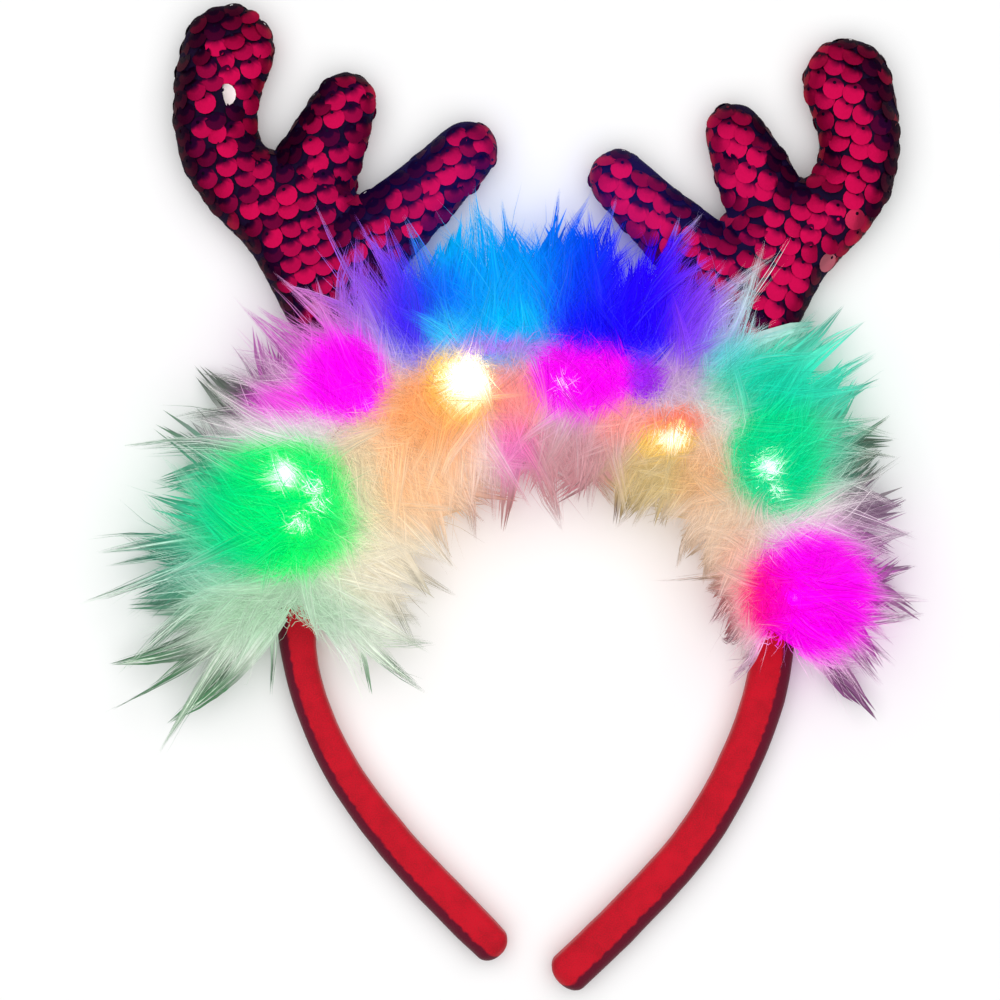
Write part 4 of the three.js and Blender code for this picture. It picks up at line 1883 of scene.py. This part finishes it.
@dataclass(frozen=True)
class Wisp:
    """A long lock that stands out of the trim to a tip, bowed sideways by a share of its length."""

    tip: tuple[float, float]
    bow: float
    strands: int
    spread: float
    # Painted shade towards the tip of the wisp.
    dark: float = 0.95


@dataclass
class FeatherDown:
    """Strands of marabou down that fan out from the core: soft under-down, pointed locks and wisps.

    Values named loose are for strands that go their own way, those named fair for the few light
    ones that lie on top, and those named tuft for whole tufts. Over an antler up to a share part of
    the tufts is left out, over the two ranges in bare: of the distance from X = 0 and from the band.
    """

    core: DownCore
    string: LightString
    cover: AntlerCover
    growths: tuple[Growth, ...] = (
        Growth(7700, 15, 13, 0.9, 0.78, 0.12, 3.2, 0.5, 1.0, 0.30, 0.28, 0.9),
        Growth(5100, 12, 9, 0.7, 0.96, 0.12, 2.6, 0.92, 0.15, 0.10, 0.30, 0.95),
        Growth(4500, 9, 6, 0.5, 1.10, 0.17, 2.6, 0.95, 0.0, 0.05, 0.34, 1.05),
        Growth(2400, 14, 8, 1.7, 0.65, 0.15, 3.0, 0.4, 4.0, 0.3, 0.26, 0.0),
        Growth(1300, 20, 8, 0.7, 0.96, 0.12, 2.4, 0.2, 1.5, 1.0, 0.28, 0.0),
        Growth(760, 11, 4, 0.35, 1.02, 0.18, 3.2, 0.8, 0.25, 0.0, 1.6, 1.15, 5.0),
    )
    wisps: tuple[Wisp, ...] = (
        Wisp((-131.0, -53.6), -0.16, 16, 0.7),
        Wisp((-122.3, -89.2), 0.10, 90, 2.6),
        Wisp((-124.3, -103.5), 0.06, 18, 0.8),
        Wisp((-105.7, -106.3), 0.14, 90, 2.4),
        Wisp((-112.0, -98.0), -0.08, 26, 1.0),
        Wisp((-75.8, -100.6), 0.05, 16, 0.7),
        Wisp((-52.4, -88.6), -0.06, 10, 0.6, 0.5),
        Wisp((109.4, -60.7), -0.10, 70, 2.2),
        Wisp((103.2, -86.4), 0.05, 16, 0.7),
        Wisp((92.9, -96.3), 0.06, 34, 1.4),
        Wisp((86.6, -92.1), -0.08, 28, 1.2),
        Wisp((98.0, 1.0), 0.10, 30, 1.4),
        Wisp((94.6, 9.4), 0.08, 44, 2.2),
        Wisp((88.6, 14.0), -0.06, 46, 2.4),
        Wisp((82.0, 13.0), 0.05, 30, 2.0, 0.5),
        Wisp((98.5, -7.0), 0.06, 48, 2.4),
        Wisp((101.7, -18.0), -0.08, 36, 1.6),
        Wisp((98.6, -27.0), -0.06, 34, 2.0),
        Wisp((102.9, -45.0), 0.10, 28, 1.3),
        Wisp((31.0, -65.0), 0.08, 10, 0.6),
        Wisp((43.9, -65.0), -0.06, 14, 0.7),
        Wisp((6.8, 47.6), 0.04, 40, 1.5, 0.3),
        Wisp((-10.0, 44.5), -0.05, 40, 1.5, 0.3),
        Wisp((23.0, 44.0), 0.05, 36, 1.4, 0.3),
        Wisp((-63.8, 44.7), 0.06, 7, 0.6, 0.0),
        Wisp((-51.6, 39.0), -0.05, 14, 0.9, 0.0),
        Wisp((-53.0, 32.0), 0.08, 44, 3.2, 0.0),
        Wisp((-48.0, 36.0), -0.06, 52, 3.4, 0.0),
        Wisp((-43.0, 37.5), 0.05, 56, 3.4, 0.0),
        Wisp((-38.0, 39.0), -0.07, 54, 3.2, 0.0),
        Wisp((-88.6, 19.0), 0.08, 9, 0.8, 0.1),
        Wisp((-66.4, 34.2), -0.05, 4, 1.6, 0.0),
        Wisp((-58.7, 37.5), 0.07, 4, 1.4, 0.0),
        Wisp((-79.0, 23.0), -0.04, 4, 1.6, 0.0),
        Wisp((-86.6, 8.0), 0.06, 6, 1.4, 0.2),
        Wisp((72.4, 33.3), -0.06, 6, 0.9, 0.0),
        Wisp((75.0, 30.0), 0.05, 4, 1.2, 0.0),
        Wisp((66.7, 26.2), 0.04, 4, 1.4, 0.0),
        Wisp((48.2, 46.2), -0.05, 4, 0.8, 0.0),
        Wisp((57.0, 30.0), 0.06, 4, 1.5, 0.0),
    )
    points: int = 6
    fan: tuple[float, float] = (-24.0, 204.0)
    reach_ways: tuple[float, ...] = (0.0, 0.25, 0.5, 0.75, 1.0)
    reach_outer: tuple[float, ...] = (56.0, 48.0, 45.0, 46.5, 41.0)
    reach_front: tuple[float, ...] = (35.0, 36.0, 36.0, 36.0, 34.0)
    reach_inner: tuple[float, ...] = (41.0, 48.0, 48.0, 34.0, 13.0)
    root_out: float = 7.5
    root_z: float = 13.0
    root_rise: float = 6.5
    floor: float = 0.6
    end_lean: float = 0.65
    fair_share: float = 0.13
    fair_lift: float = 5.0
    fair_shade: float = 0.05
    vane_height: float = 0.45
    tuft_curl: float = 0.55
    tuft_lean: float = 0.22
    tuft_parting: float = 0.55
    tuft_ends: float = 1.3
    tuft_sway: float = 2.2
    stray_way: float = 0.010
    stray_fan: float = 0.09
    loose_fan: float = 0.2
    loose_lean: float = 0.3
    loose_curl: float = 0.35
    rise: float = 0.3
    droop: tuple[float, float] = (22.0, 26.0)
    waves: tuple[float, float] = (3.0, 8.0)
    part: float = 0.5
    bare: tuple[tuple[float, float], tuple[float, float]] = ((48.0, 60.0), (30.0, 40.0))
    crest: float = 40.0
    crest_share: float = 0.4
    low_from: tuple[float, float] = (14.0, 34.0)
    dark_outer: tuple[float, float] = (0.36, 0.60)
    dark_inner: tuple[float, float] = (0.64, 1.0)
    over_shade: float = 0.35
    tone_chance: float = 0.1
    least_tone: float = 0.05
    wisp_root: tuple[float, float] = (6.0, 17.0)
    wisp_arch: float = 6.0
    wisp_tip_z: float = 4.0
    wisp_width: float = 0.34
    leg_gap: tuple[float, float] = (0.024, 0.020)
    leg_steps: int = 90
    leg_clear: float = 7.0
    leg_share: float = 0.06

    def reach(self, way: Array, fan: Array) -> Array:
        """Reach of the down: cos^2 of the fan angle mixes the front's reach with the side's.

        Args:
            way: Share of the way along the trim.
            fan: Angle round the band from outwards, in radians.

        Returns:
            The reach of each tuft.
        """
        rows = (self.reach_outer, self.reach_front, self.reach_inner)
        outer, front, inner = (np.interp(way, self.reach_ways, row) for row in rows)
        side = np.where(np.cos(fan) > 0, outer, inner)
        return front + (side - front) * np.cos(fan) ** 2

    def plant(self, stretch: Stretch, growth: Growth, rng: np.random.Generator) -> Tufts:
        """Set out the tufts of one growth, each at a chance place in its cell of a grid.

        Args:
            stretch: The stretch.
            growth: The kind of growth.
            rng: Source of chance.

        Returns:
            The tufts.
        """
        start, end = stretch.value
        count = growth.along * growth.around
        station, place = np.divmod(np.arange(count), growth.around)
        way = start + (end - start) * (station + rng.random(count)) / growth.along
        side = 2 * (place + rng.random(count)) / growth.around - 1
        middle, half = sum(self.fan) / 2, (self.fan[1] - self.fan[0]) / 2
        fan = np.radians(middle + half * np.sign(side) * np.abs(side) ** growth.push)
        vary = 1 + rng.uniform(-growth.vary, growth.vary, count)
        reach = self.reach(way, fan) * growth.reach * vary - self.root_out
        curl = rng.normal(0.0, self.tuft_curl, count)
        lean = rng.normal(0.0, self.tuft_lean, count)
        return Tufts(way, fan, reach, curl, lean, rng.random(count))

    def grow(self, stretch: Stretch, growth: Growth, rng: np.random.Generator) -> Strands:
        """Grow one kind of strands on one stretch.

        A strand runs from its root by L * (t d0 + t^2 (d1 - d0) / 2): it leaves the core in
        direction d0 and droops towards d1. Its distance from the middle of its tuft shrinks along
        it, so the tuft ends in a point, and loose strands stay apart and curl.

        Args:
            stretch: The stretch.
            growth: The kind of growth.
            rng: Source of chance.

        Returns:
            The strands.
        """
        tufts = self.plant(stretch, growth, rng)
        count, number = len(tufts.way), growth.strands
        pick = rng.integers(0, count, number)
        loose = rng.random(number) < growth.loose
        stray = np.where(loose, 1.0, growth.stray)
        way = np.clip(tufts.way[pick] + stray * rng.normal(0.0, self.stray_way, number), 0.0, 1.0)
        fan = tufts.fan[pick] + stray * rng.normal(0.0, self.stray_fan, number)
        fan = fan + np.where(loose, rng.normal(0.0, self.loose_fan, number), 0.0)
        spots = self.core.at(way)
        away = np.sign(math.pi / 2 - fan + rng.normal(0.0, self.tuft_parting, count)[pick])
        rise = fan + (math.pi / 2 - fan) * self.rise
        droop = fan - away * np.radians(self.droop[0] + self.droop[1] * np.sin(fan) ** 2)
        ends = np.sign(way - 0.5) * smooth_step(0.3, 0.5, np.abs(way - 0.5)) * self.end_lean
        ends = ends * rng.uniform(0.0, self.tuft_ends, count)[pick]
        slant = ends + tufts.lean[pick] + np.where(loose, rng.normal(0.0, self.loose_lean, number), 0.0)
        slant = slant[:, None] * spots.along
        first = unit(np.cos(rise)[:, None] * spots.outward + np.sin(rise)[:, None] * UP + slant)
        final = unit(np.cos(droop)[:, None] * spots.outward + np.sin(droop)[:, None] * UP + slant * 1.3)
        bend = tufts.curl[pick] + np.where(loose, rng.normal(0.0, self.loose_curl, number), 0.0)
        final = unit(final + bend[:, None] * spots.along)
        root = spots.place + spots.outward * (self.root_out * np.cos(fan))[:, None]
        root[:, 2] = self.root_z + self.root_rise * np.sin(fan)
        share = np.where(loose, rng.uniform(0.35, 1.0, number), 0.5 + 0.5 * rng.random(number) ** 0.7)
        length = (tufts.reach[pick] * share)[:, None, None]
        t = np.linspace(0.0, 1.0, self.points)[None, :, None]
        lines = root[:, None] + length * (t * first[:, None] + t * t / 2 * (final - first)[:, None])
        beside = np.cross(spots.along, unit(first + final))
        a, b = np.clip(rng.normal(0.0, 1.0, (2, number)), -2.0, 2.0)
        full = t * share[:, None, None]
        gather = np.where(loose[:, None, None], 1.0 + 0.3 * full, 1.0 - growth.gather * full)
        off = a[:, None] * spots.along + 0.8 * b[:, None] * beside
        lines = lines + growth.spread * gather * off[:, None]
        swing = rng.normal(0.0, 1.0, count)[pick][:, None, None]
        phase = rng.uniform(0.0, FULL_TURN, count)[pick][:, None, None]
        lines = lines + self.tuft_sway * swing * t * np.sin(4.2 * t + phase) * spots.along[:, None]
        phase = rng.uniform(0.0, FULL_TURN, (2, number, 1, 1))
        waves = rng.uniform(*self.waves, (number, 1, 1))
        size = np.where(loose, rng.uniform(0.5, 2.2, number), rng.uniform(0.1, 0.4, number))
        size = size[:, None, None] * t
        lines = lines + size * np.sin(waves * t + phase[0]) * spots.along[:, None]
        lines = lines + size * np.sin(waves * t + phase[1]) * beside[:, None]
        fair = (rng.random(number) < self.fair_share) & (growth.flat == 0)
        lines[..., 2] += np.where(fair, self.fair_lift, 0.0)[:, None] * t[..., 0]
        lines[..., 2] *= self.vane_height if growth.flat else 1.0
        lowered = self.crest + self.crest_share * (lines[..., 2] - self.crest)
        lines[..., 2] = np.minimum(lines[..., 2], lowered)
        lines = self.settle(lines, rng)
        far = np.linalg.norm((lines - spots.place[:, None])[..., :2], axis=-1)
        over = self.cover.top(lines) > 3.0
        dark = tufts.dark[pick]
        shade = growth.dark * self.shadow(lines, far, way, fan) * (0.75 + 0.35 * dark[:, None])
        shade = shade * np.where(over, self.over_shade, 1.0) * np.where(fair, self.fair_shade, 1.0)[:, None]
        tone = 1.0 - shade + rng.normal(0.0, self.tone_chance, (number, 1))
        faces = unit(rng.normal(0.0, 1.0, (number, 3)) + growth.flat * UP)
        widths = self.taper(number, growth.width, 0.35 if growth.flat else 0.6, rng)
        bare_x, bare_reach = self.bare
        bare = smooth_step(*bare_x, np.abs(lines[:, -1, 0])) * smooth_step(*bare_reach, far[:, -1])
        kept = ~over[:, -1] | ((growth.flat == 0) & (dark > self.part * bare))
        made = Strands(lines, widths, np.clip(tone, self.least_tone, 1.0), root, faces)
        return Strands(*(row[kept] for row in made.rows()))

    def shadow(self, lines: Array, far: Array, way: Array, fan: Array) -> Array:
        """Shade of strands, which grows towards the rim of the trim and less high up.

        Args:
            lines: The strands' lines.
            far: Distance of their points from the band in plan.
            way: Share of the way along the trim.
            fan: Angle round the band from outwards, in radians.

        Returns:
            The shade of each point, from 0 to 1.
        """
        outer = np.cos(fan) > 0
        bound = self.reach(way, np.where(outer, 0.0, math.pi))[:, None]
        begin, finish = (
            np.where(outer, *pair)[:, None] * bound for pair in zip(self.dark_outer, self.dark_inner)
        )
        return smooth_step(begin, finish, far) * (1.0 - 0.5 * smooth_step(*self.low_from, lines[..., 2]))

    def taper(self, number: int, width: float, blunt: float, rng: np.random.Generator) -> Array:
        """Half widths along strands, which run out to a point."""
        narrowing = np.linspace(1.0, 0.0, self.points)[None, :] ** blunt
        return width / 2 * narrowing * rng.uniform(0.6, 1.3, (number, 1))

    def settle(self, lines: Array, rng: np.random.Generator) -> Array:
        """Lift strands off the floor and the antlers, each to its own least height.

        Args:
            lines: The strands' lines.
            rng: Source of chance.

        Returns:
            The lifted lines.
        """
        least = self.floor + rng.uniform(0.0, 2.0, (len(lines), 1))
        height = np.maximum(lines[..., 2], np.maximum(least, self.cover.top(lines) + least))
        return np.concatenate([lines[..., :2], height[..., None]], axis=-1)

    def pull_wisp(self, wisp: Wisp, rng: np.random.Generator) -> tuple[float, Strands]:
        """Draw out one wisp as a quadratic Bezier line from the nearest place on the core to its tip.

        Args:
            wisp: The wisp.
            rng: Source of chance.

        Returns:
            The share of the way along the trim where it grows, and its strands.
        """
        ways = np.linspace(0.0, 1.0, 200)
        spots = self.core.at(ways)
        tip = np.array([*wisp.tip, self.wisp_tip_z])
        best = int(np.argmin(np.linalg.norm(spots.place[:, :2] - tip[:2], axis=1)))
        out = float(np.sign((tip - spots.place[best]) @ spots.outward[best]))
        root_out, root_up = self.wisp_root
        root = spots.place[best] + spots.outward[best] * out * root_out + root_up * UP
        reach = tip - root
        square = np.array([-reach[1], reach[0], 0.0])
        turn = (root + tip) / 2 + square * wisp.bow + self.wisp_arch * UP
        number = wisp.strands
        t = np.linspace(0.0, 1.0, self.points)[None, :, None] * rng.uniform(0.7, 1.0, (number, 1, 1))
        lines = (1 - t) ** 2 * root + 2 * t * (1 - t) * turn + t * t * tip
        across = unit(square)
        a, b = np.clip(rng.normal(0.0, 1.0, (2, number, 1, 1)), -2.0, 2.0)
        thin = wisp.spread * (1.0 - 0.96 * t**1.4)
        lines = lines + thin * (a * across + 0.6 * b * UP)
        phase = rng.uniform(0.0, FULL_TURN, (number, 1, 1))
        lines = lines + 0.35 * t * np.sin(6.0 * t + phase) * across
        lines = self.settle(lines, rng)
        shade = wisp.dark * smooth_step(0.2, 0.6, t[..., 0])
        shade = shade * np.where(rng.random((number, 1)) < 0.15, 0.1, 1.0)
        tone = 1.0 - shade + rng.normal(0.0, self.tone_chance, (number, 1))
        roots = np.broadcast_to(root, (number, 3))
        broad = (rng.random(number) < 0.35) & (wisp.dark > 0.4)
        widths = self.taper(number, self.wisp_width, 0.6, rng)
        widths = widths * np.where(broad, 2.2 * wisp.spread, 1.0)[:, None]
        faces = unit(rng.normal(0.0, 1.0, (number, 3)) + np.where(broad, 5.0, 0.0)[:, None] * UP)
        tone = np.clip(tone, self.least_tone, 1.0)
        return float(ways[best]), Strands(lines, widths, tone, roots, faces)

    def gather(self, stretch: Stretch, rng: np.random.Generator) -> Strands:
        """All strands of one stretch.

        Args:
            stretch: The stretch.
            rng: Source of chance.

        Returns:
            The strands.
        """
        parts = [self.clear_legs(self.grow(stretch, growth, rng), rng) for growth in self.growths]
        for wisp in self.wisps:
            way, strands = self.pull_wisp(wisp, np.random.default_rng(wisp.strands + 7))
            last = 1.01 if stretch is Stretch.RIGHT_END else stretch.value[1]
            if stretch.value[0] <= way < last:
                parts.append(strands)
        columns = zip(*(part.rows() for part in parts))
        return Strands(*(np.concatenate(column) for column in columns))

    def clear_legs(self, strands: Strands, rng: np.random.Generator) -> Strands:
        """Leave out most strands whose tips hang over the legs below the trim.

        Args:
            strands: The strands.
            rng: Source of chance.

        Returns:
            The strands that are left.
        """
        left = np.linspace(0.0, self.core.start - self.leg_gap[0], self.leg_steps)
        right = np.linspace(self.core.end + self.leg_gap[1], 1.0, self.leg_steps)
        legs = self.core.line.at(np.concatenate([left, right])).place[None, :, :2]
        outer = strands.lines[:, self.points // 2 :, :2]
        away = np.full(len(outer), np.inf)
        for index in range(outer.shape[1]):
            gap = np.linalg.norm(outer[:, index, None] - legs, axis=-1).min(axis=1)
            away = np.minimum(away, gap)
        kept = (away > self.leg_clear) | (rng.random(len(outer)) < self.leg_share)
        return Strands(*(row[kept] for row in strands.rows()))

    def build(self, stretch: Stretch, material: Material) -> Piece:
        """Build one stretch of strands as a mesh of ribbons that taper to a point.

        A ribbon's edges are the line -+ half width * side, where side is square to the line and to
        the way the ribbon faces.

        Args:
            stretch: The stretch.
            material: The strands' material.

        Returns:
            The piece.
        """
        rng = np.random.default_rng(100 + list(Stretch).index(stretch))
        strands = self.gather(stretch, rng)
        number, k, _ = strands.lines.shape
        side = unit(np.cross(np.gradient(strands.lines, axis=1), strands.faces[:, None]))
        edge = strands.half_widths[..., None] * side
        pairs = np.stack([strands.lines - edge, strands.lines + edge], axis=2)[:, :-1]
        points = np.concatenate([pairs.reshape(number, -1, 3), strands.lines[:, -1:]], axis=1)
        each = points.shape[1]
        step = np.arange(number)[:, None, None] * each
        row = np.arange(k - 2)[:, None] * 2
        quads = (row + np.array([0, 1, 3, 2]))[None] + step
        tips = np.array([[2 * k - 4, 2 * k - 3, 2 * k - 2]])[None] + step
        faces = [quads.reshape(-1, 4), tips.reshape(-1, 3)]
        piece = put_mesh(f"down_{stretch.name.lower()}", points.reshape(-1, 3), faces)
        near = strands.lines + 0.1 * (strands.roots[:, None] - strands.lines)
        near = near + rng.normal(0.0, 1.2, (number, 1, 3))
        tint, light = self.string.shine(near.reshape(-1, 3), self.string.bead_middles(self.core))
        tint = tint.reshape(number, k, 3) * rng.uniform(0.6, 1.1, (number, 1, 1))
        light = light.reshape(number, k)
        light = np.where(light > 1.0, light, np.minimum(1.0, light * rng.uniform(0.96, 1.1, (number, 1))))
        put_colours(piece, "tint", self.to_points(tint).reshape(-1, 3))
        put_values(piece, "light", self.to_points(light[..., None]))
        put_values(piece, "tone", self.to_points(strands.tone[..., None]))
        self.put_map(piece, number, faces)
        dress(piece, material)
        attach(piece, BODY)
        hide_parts("feather_trim")
        return piece

    @staticmethod
    def to_points(values: Array) -> Array:
        """Spread values along the lines to the ribbons' points: two for each but the tip."""
        return np.concatenate([np.repeat(values[:, :-1], 2, axis=1), values[:, -1:]], axis=1)

    def put_map(self, piece: Piece, number: int, faces: Sequence[Array]) -> None:
        """Give the ribbons a map with a cell of its own for each strand.

        Args:
            piece: The mesh of ribbons.
            number: Number of strands.
            faces: The faces of the mesh.
        """
        columns = math.ceil(math.sqrt(number * 2))
        rows = math.ceil(number / columns)
        cell = np.arange(number)
        corner = np.stack([cell % columns, cell // columns], axis=1)[:, None]
        up = np.linspace(0.1, 0.9, self.points)[None, :, None]
        across = np.full((1, self.points, 1), 0.15)
        left = np.concatenate([across, up], axis=2)
        right = np.concatenate([1.0 - across, up], axis=2)
        pairs = np.stack([left, right], axis=2)[:, :-1].reshape(1, -1, 2)
        tip = np.array([[[0.5, 0.9]]])
        local = np.concatenate([pairs, tip], axis=1)
        spots = (corner + local) / np.array([columns, rows])
        corners = np.concatenate([part.ravel() for part in faces])
        layer = piece.data.uv_layers.new(name="OFBake")
        layer.data.foreach_set("uv", spots.reshape(-1, 2)[corners].astype(np.float32).ravel())


@dataclass
class Studio:
    """Pale floor, soft light from above and a camera that looks straight down on the headband."""

    middle: tuple[float, float] = (-10.26, -42.18)
    frame: float = 285.0
    distance: float = 1000.0
    level: float = 7.0
    floor_half: float = 4000.0
    floor_z: float = -0.3
    lamp_at: tuple[float, float, float] = (0.0, 40.0, 1250.0)
    lamp_size: float = 2600.0
    lamp_power: float = 35.8
    sky: float = 0.16

    def build_floor(self) -> Piece:
        """Build the floor, a flat grid.

        Returns:
            The floor.
        """
        line = np.linspace(-self.floor_half, self.floor_half, 9)
        x, y = np.meshgrid(line, line)
        points = np.stack([x, y, np.full_like(x, self.floor_z)], axis=-1).reshape(-1, 3)
        floor = put_mesh("floor", points, [grid_faces(9, 9, False)])
        dress(floor, PaperFinish().make())
        return floor

    def build_lights(self) -> None:
        """Hang the lamp and set the sky."""
        lamp = bpy.data.lights.new("softbox", "AREA")
        lamp.shape = "SQUARE"
        lamp.size = self.lamp_size * MM
        lamp.energy = self.lamp_power
        hung = bpy.data.objects.new("softbox", lamp)
        hung.location = Vector(self.lamp_at) * MM
        bpy.context.scene.collection.objects.link(hung)
        world = bpy.data.worlds.new("studio")
        world.use_nodes = True
        sky = world.node_tree.nodes["Background"]
        sky.inputs["Color"].default_value = (*WHITE, 1.0)
        sky.inputs["Strength"].default_value = self.sky
        bpy.context.scene.world = world

    def build_camera(self) -> None:
        """Set the camera over the middle of the frame, looking down with +Y up the picture."""
        lens = bpy.data.cameras.new("camera")
        lens.sensor_width = 36.0
        lens.lens = 36.0 * self.distance / self.frame
        held = bpy.data.objects.new("camera", lens)
        held.location = Vector((*self.middle, self.level + self.distance)) * MM
        bpy.context.scene.collection.objects.link(held)
        bpy.context.scene.camera = held
        bpy.context.scene.view_settings.view_transform = "Standard"


def corners(box: tuple[Vector, Vector]) -> list[list[float]]:
    """A box's two corners as plain lists of numbers."""
    return [[float(value) for value in corner] for corner in box]


def main() -> None:
    """Build the headband round its frame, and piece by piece."""
    logging.basicConfig(level=logging.INFO, format="%(message)s", force=True)
    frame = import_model()
    studio = Studio()
    studio.build_camera()
    studio.build_lights()
    LOG.info("stage: %s", studio.build_floor().name)
    line = BandLine()
    LOG.info("piece: %s", Band(line).build().name)
    left = AntlerShape(Side.LEFT, (-41.6, -17.1), 1.0)
    right = AntlerShape(Side.RIGHT, (44.5, -21.7), 0.956)
    foil = SequinFinish().make()
    left_turned = ((-87.5, 70.6, 2.0), (-85.0, 65.5, 0.0), (-79.5, 70.0, 1.0))
    right_turned = ((84.8, 26.7, 1.4), (87.4, 36.2, 1.26))
    antlers = (
        Antler(left, "antler_left", left_turned, SequinTone(0.66, 0.36), 11),
        Antler(right, "antler_right", right_turned, SequinTone(0.96, 0.12), 12),
    )
    for antler in antlers:
        body = antler.build_body(frame["nodes"][antler.node])
        LOG.info("piece: %s", body.name)
        LOG.info("piece: %s", antler.build_sequins(body, foil).name)
    core = DownCore(line)
    string = LightString(line)
    LOG.info("piece: %s", core.build(string, DownFinish("core down").make()).name)
    LOG.info("piece: %s", string.build_wire(core).name)
    for bead in string.build_beads(core):
        LOG.info("piece: %s", bead.name)
    down = FeatherDown(core, string, AntlerCover((left, right)))
    strand = DownFinish("strand down").make()
    for stretch in Stretch:
        LOG.info("piece: %s", down.build(stretch, strand).name)
    bpy.context.view_layer.update()


if __name__ == "__main__":
    main()
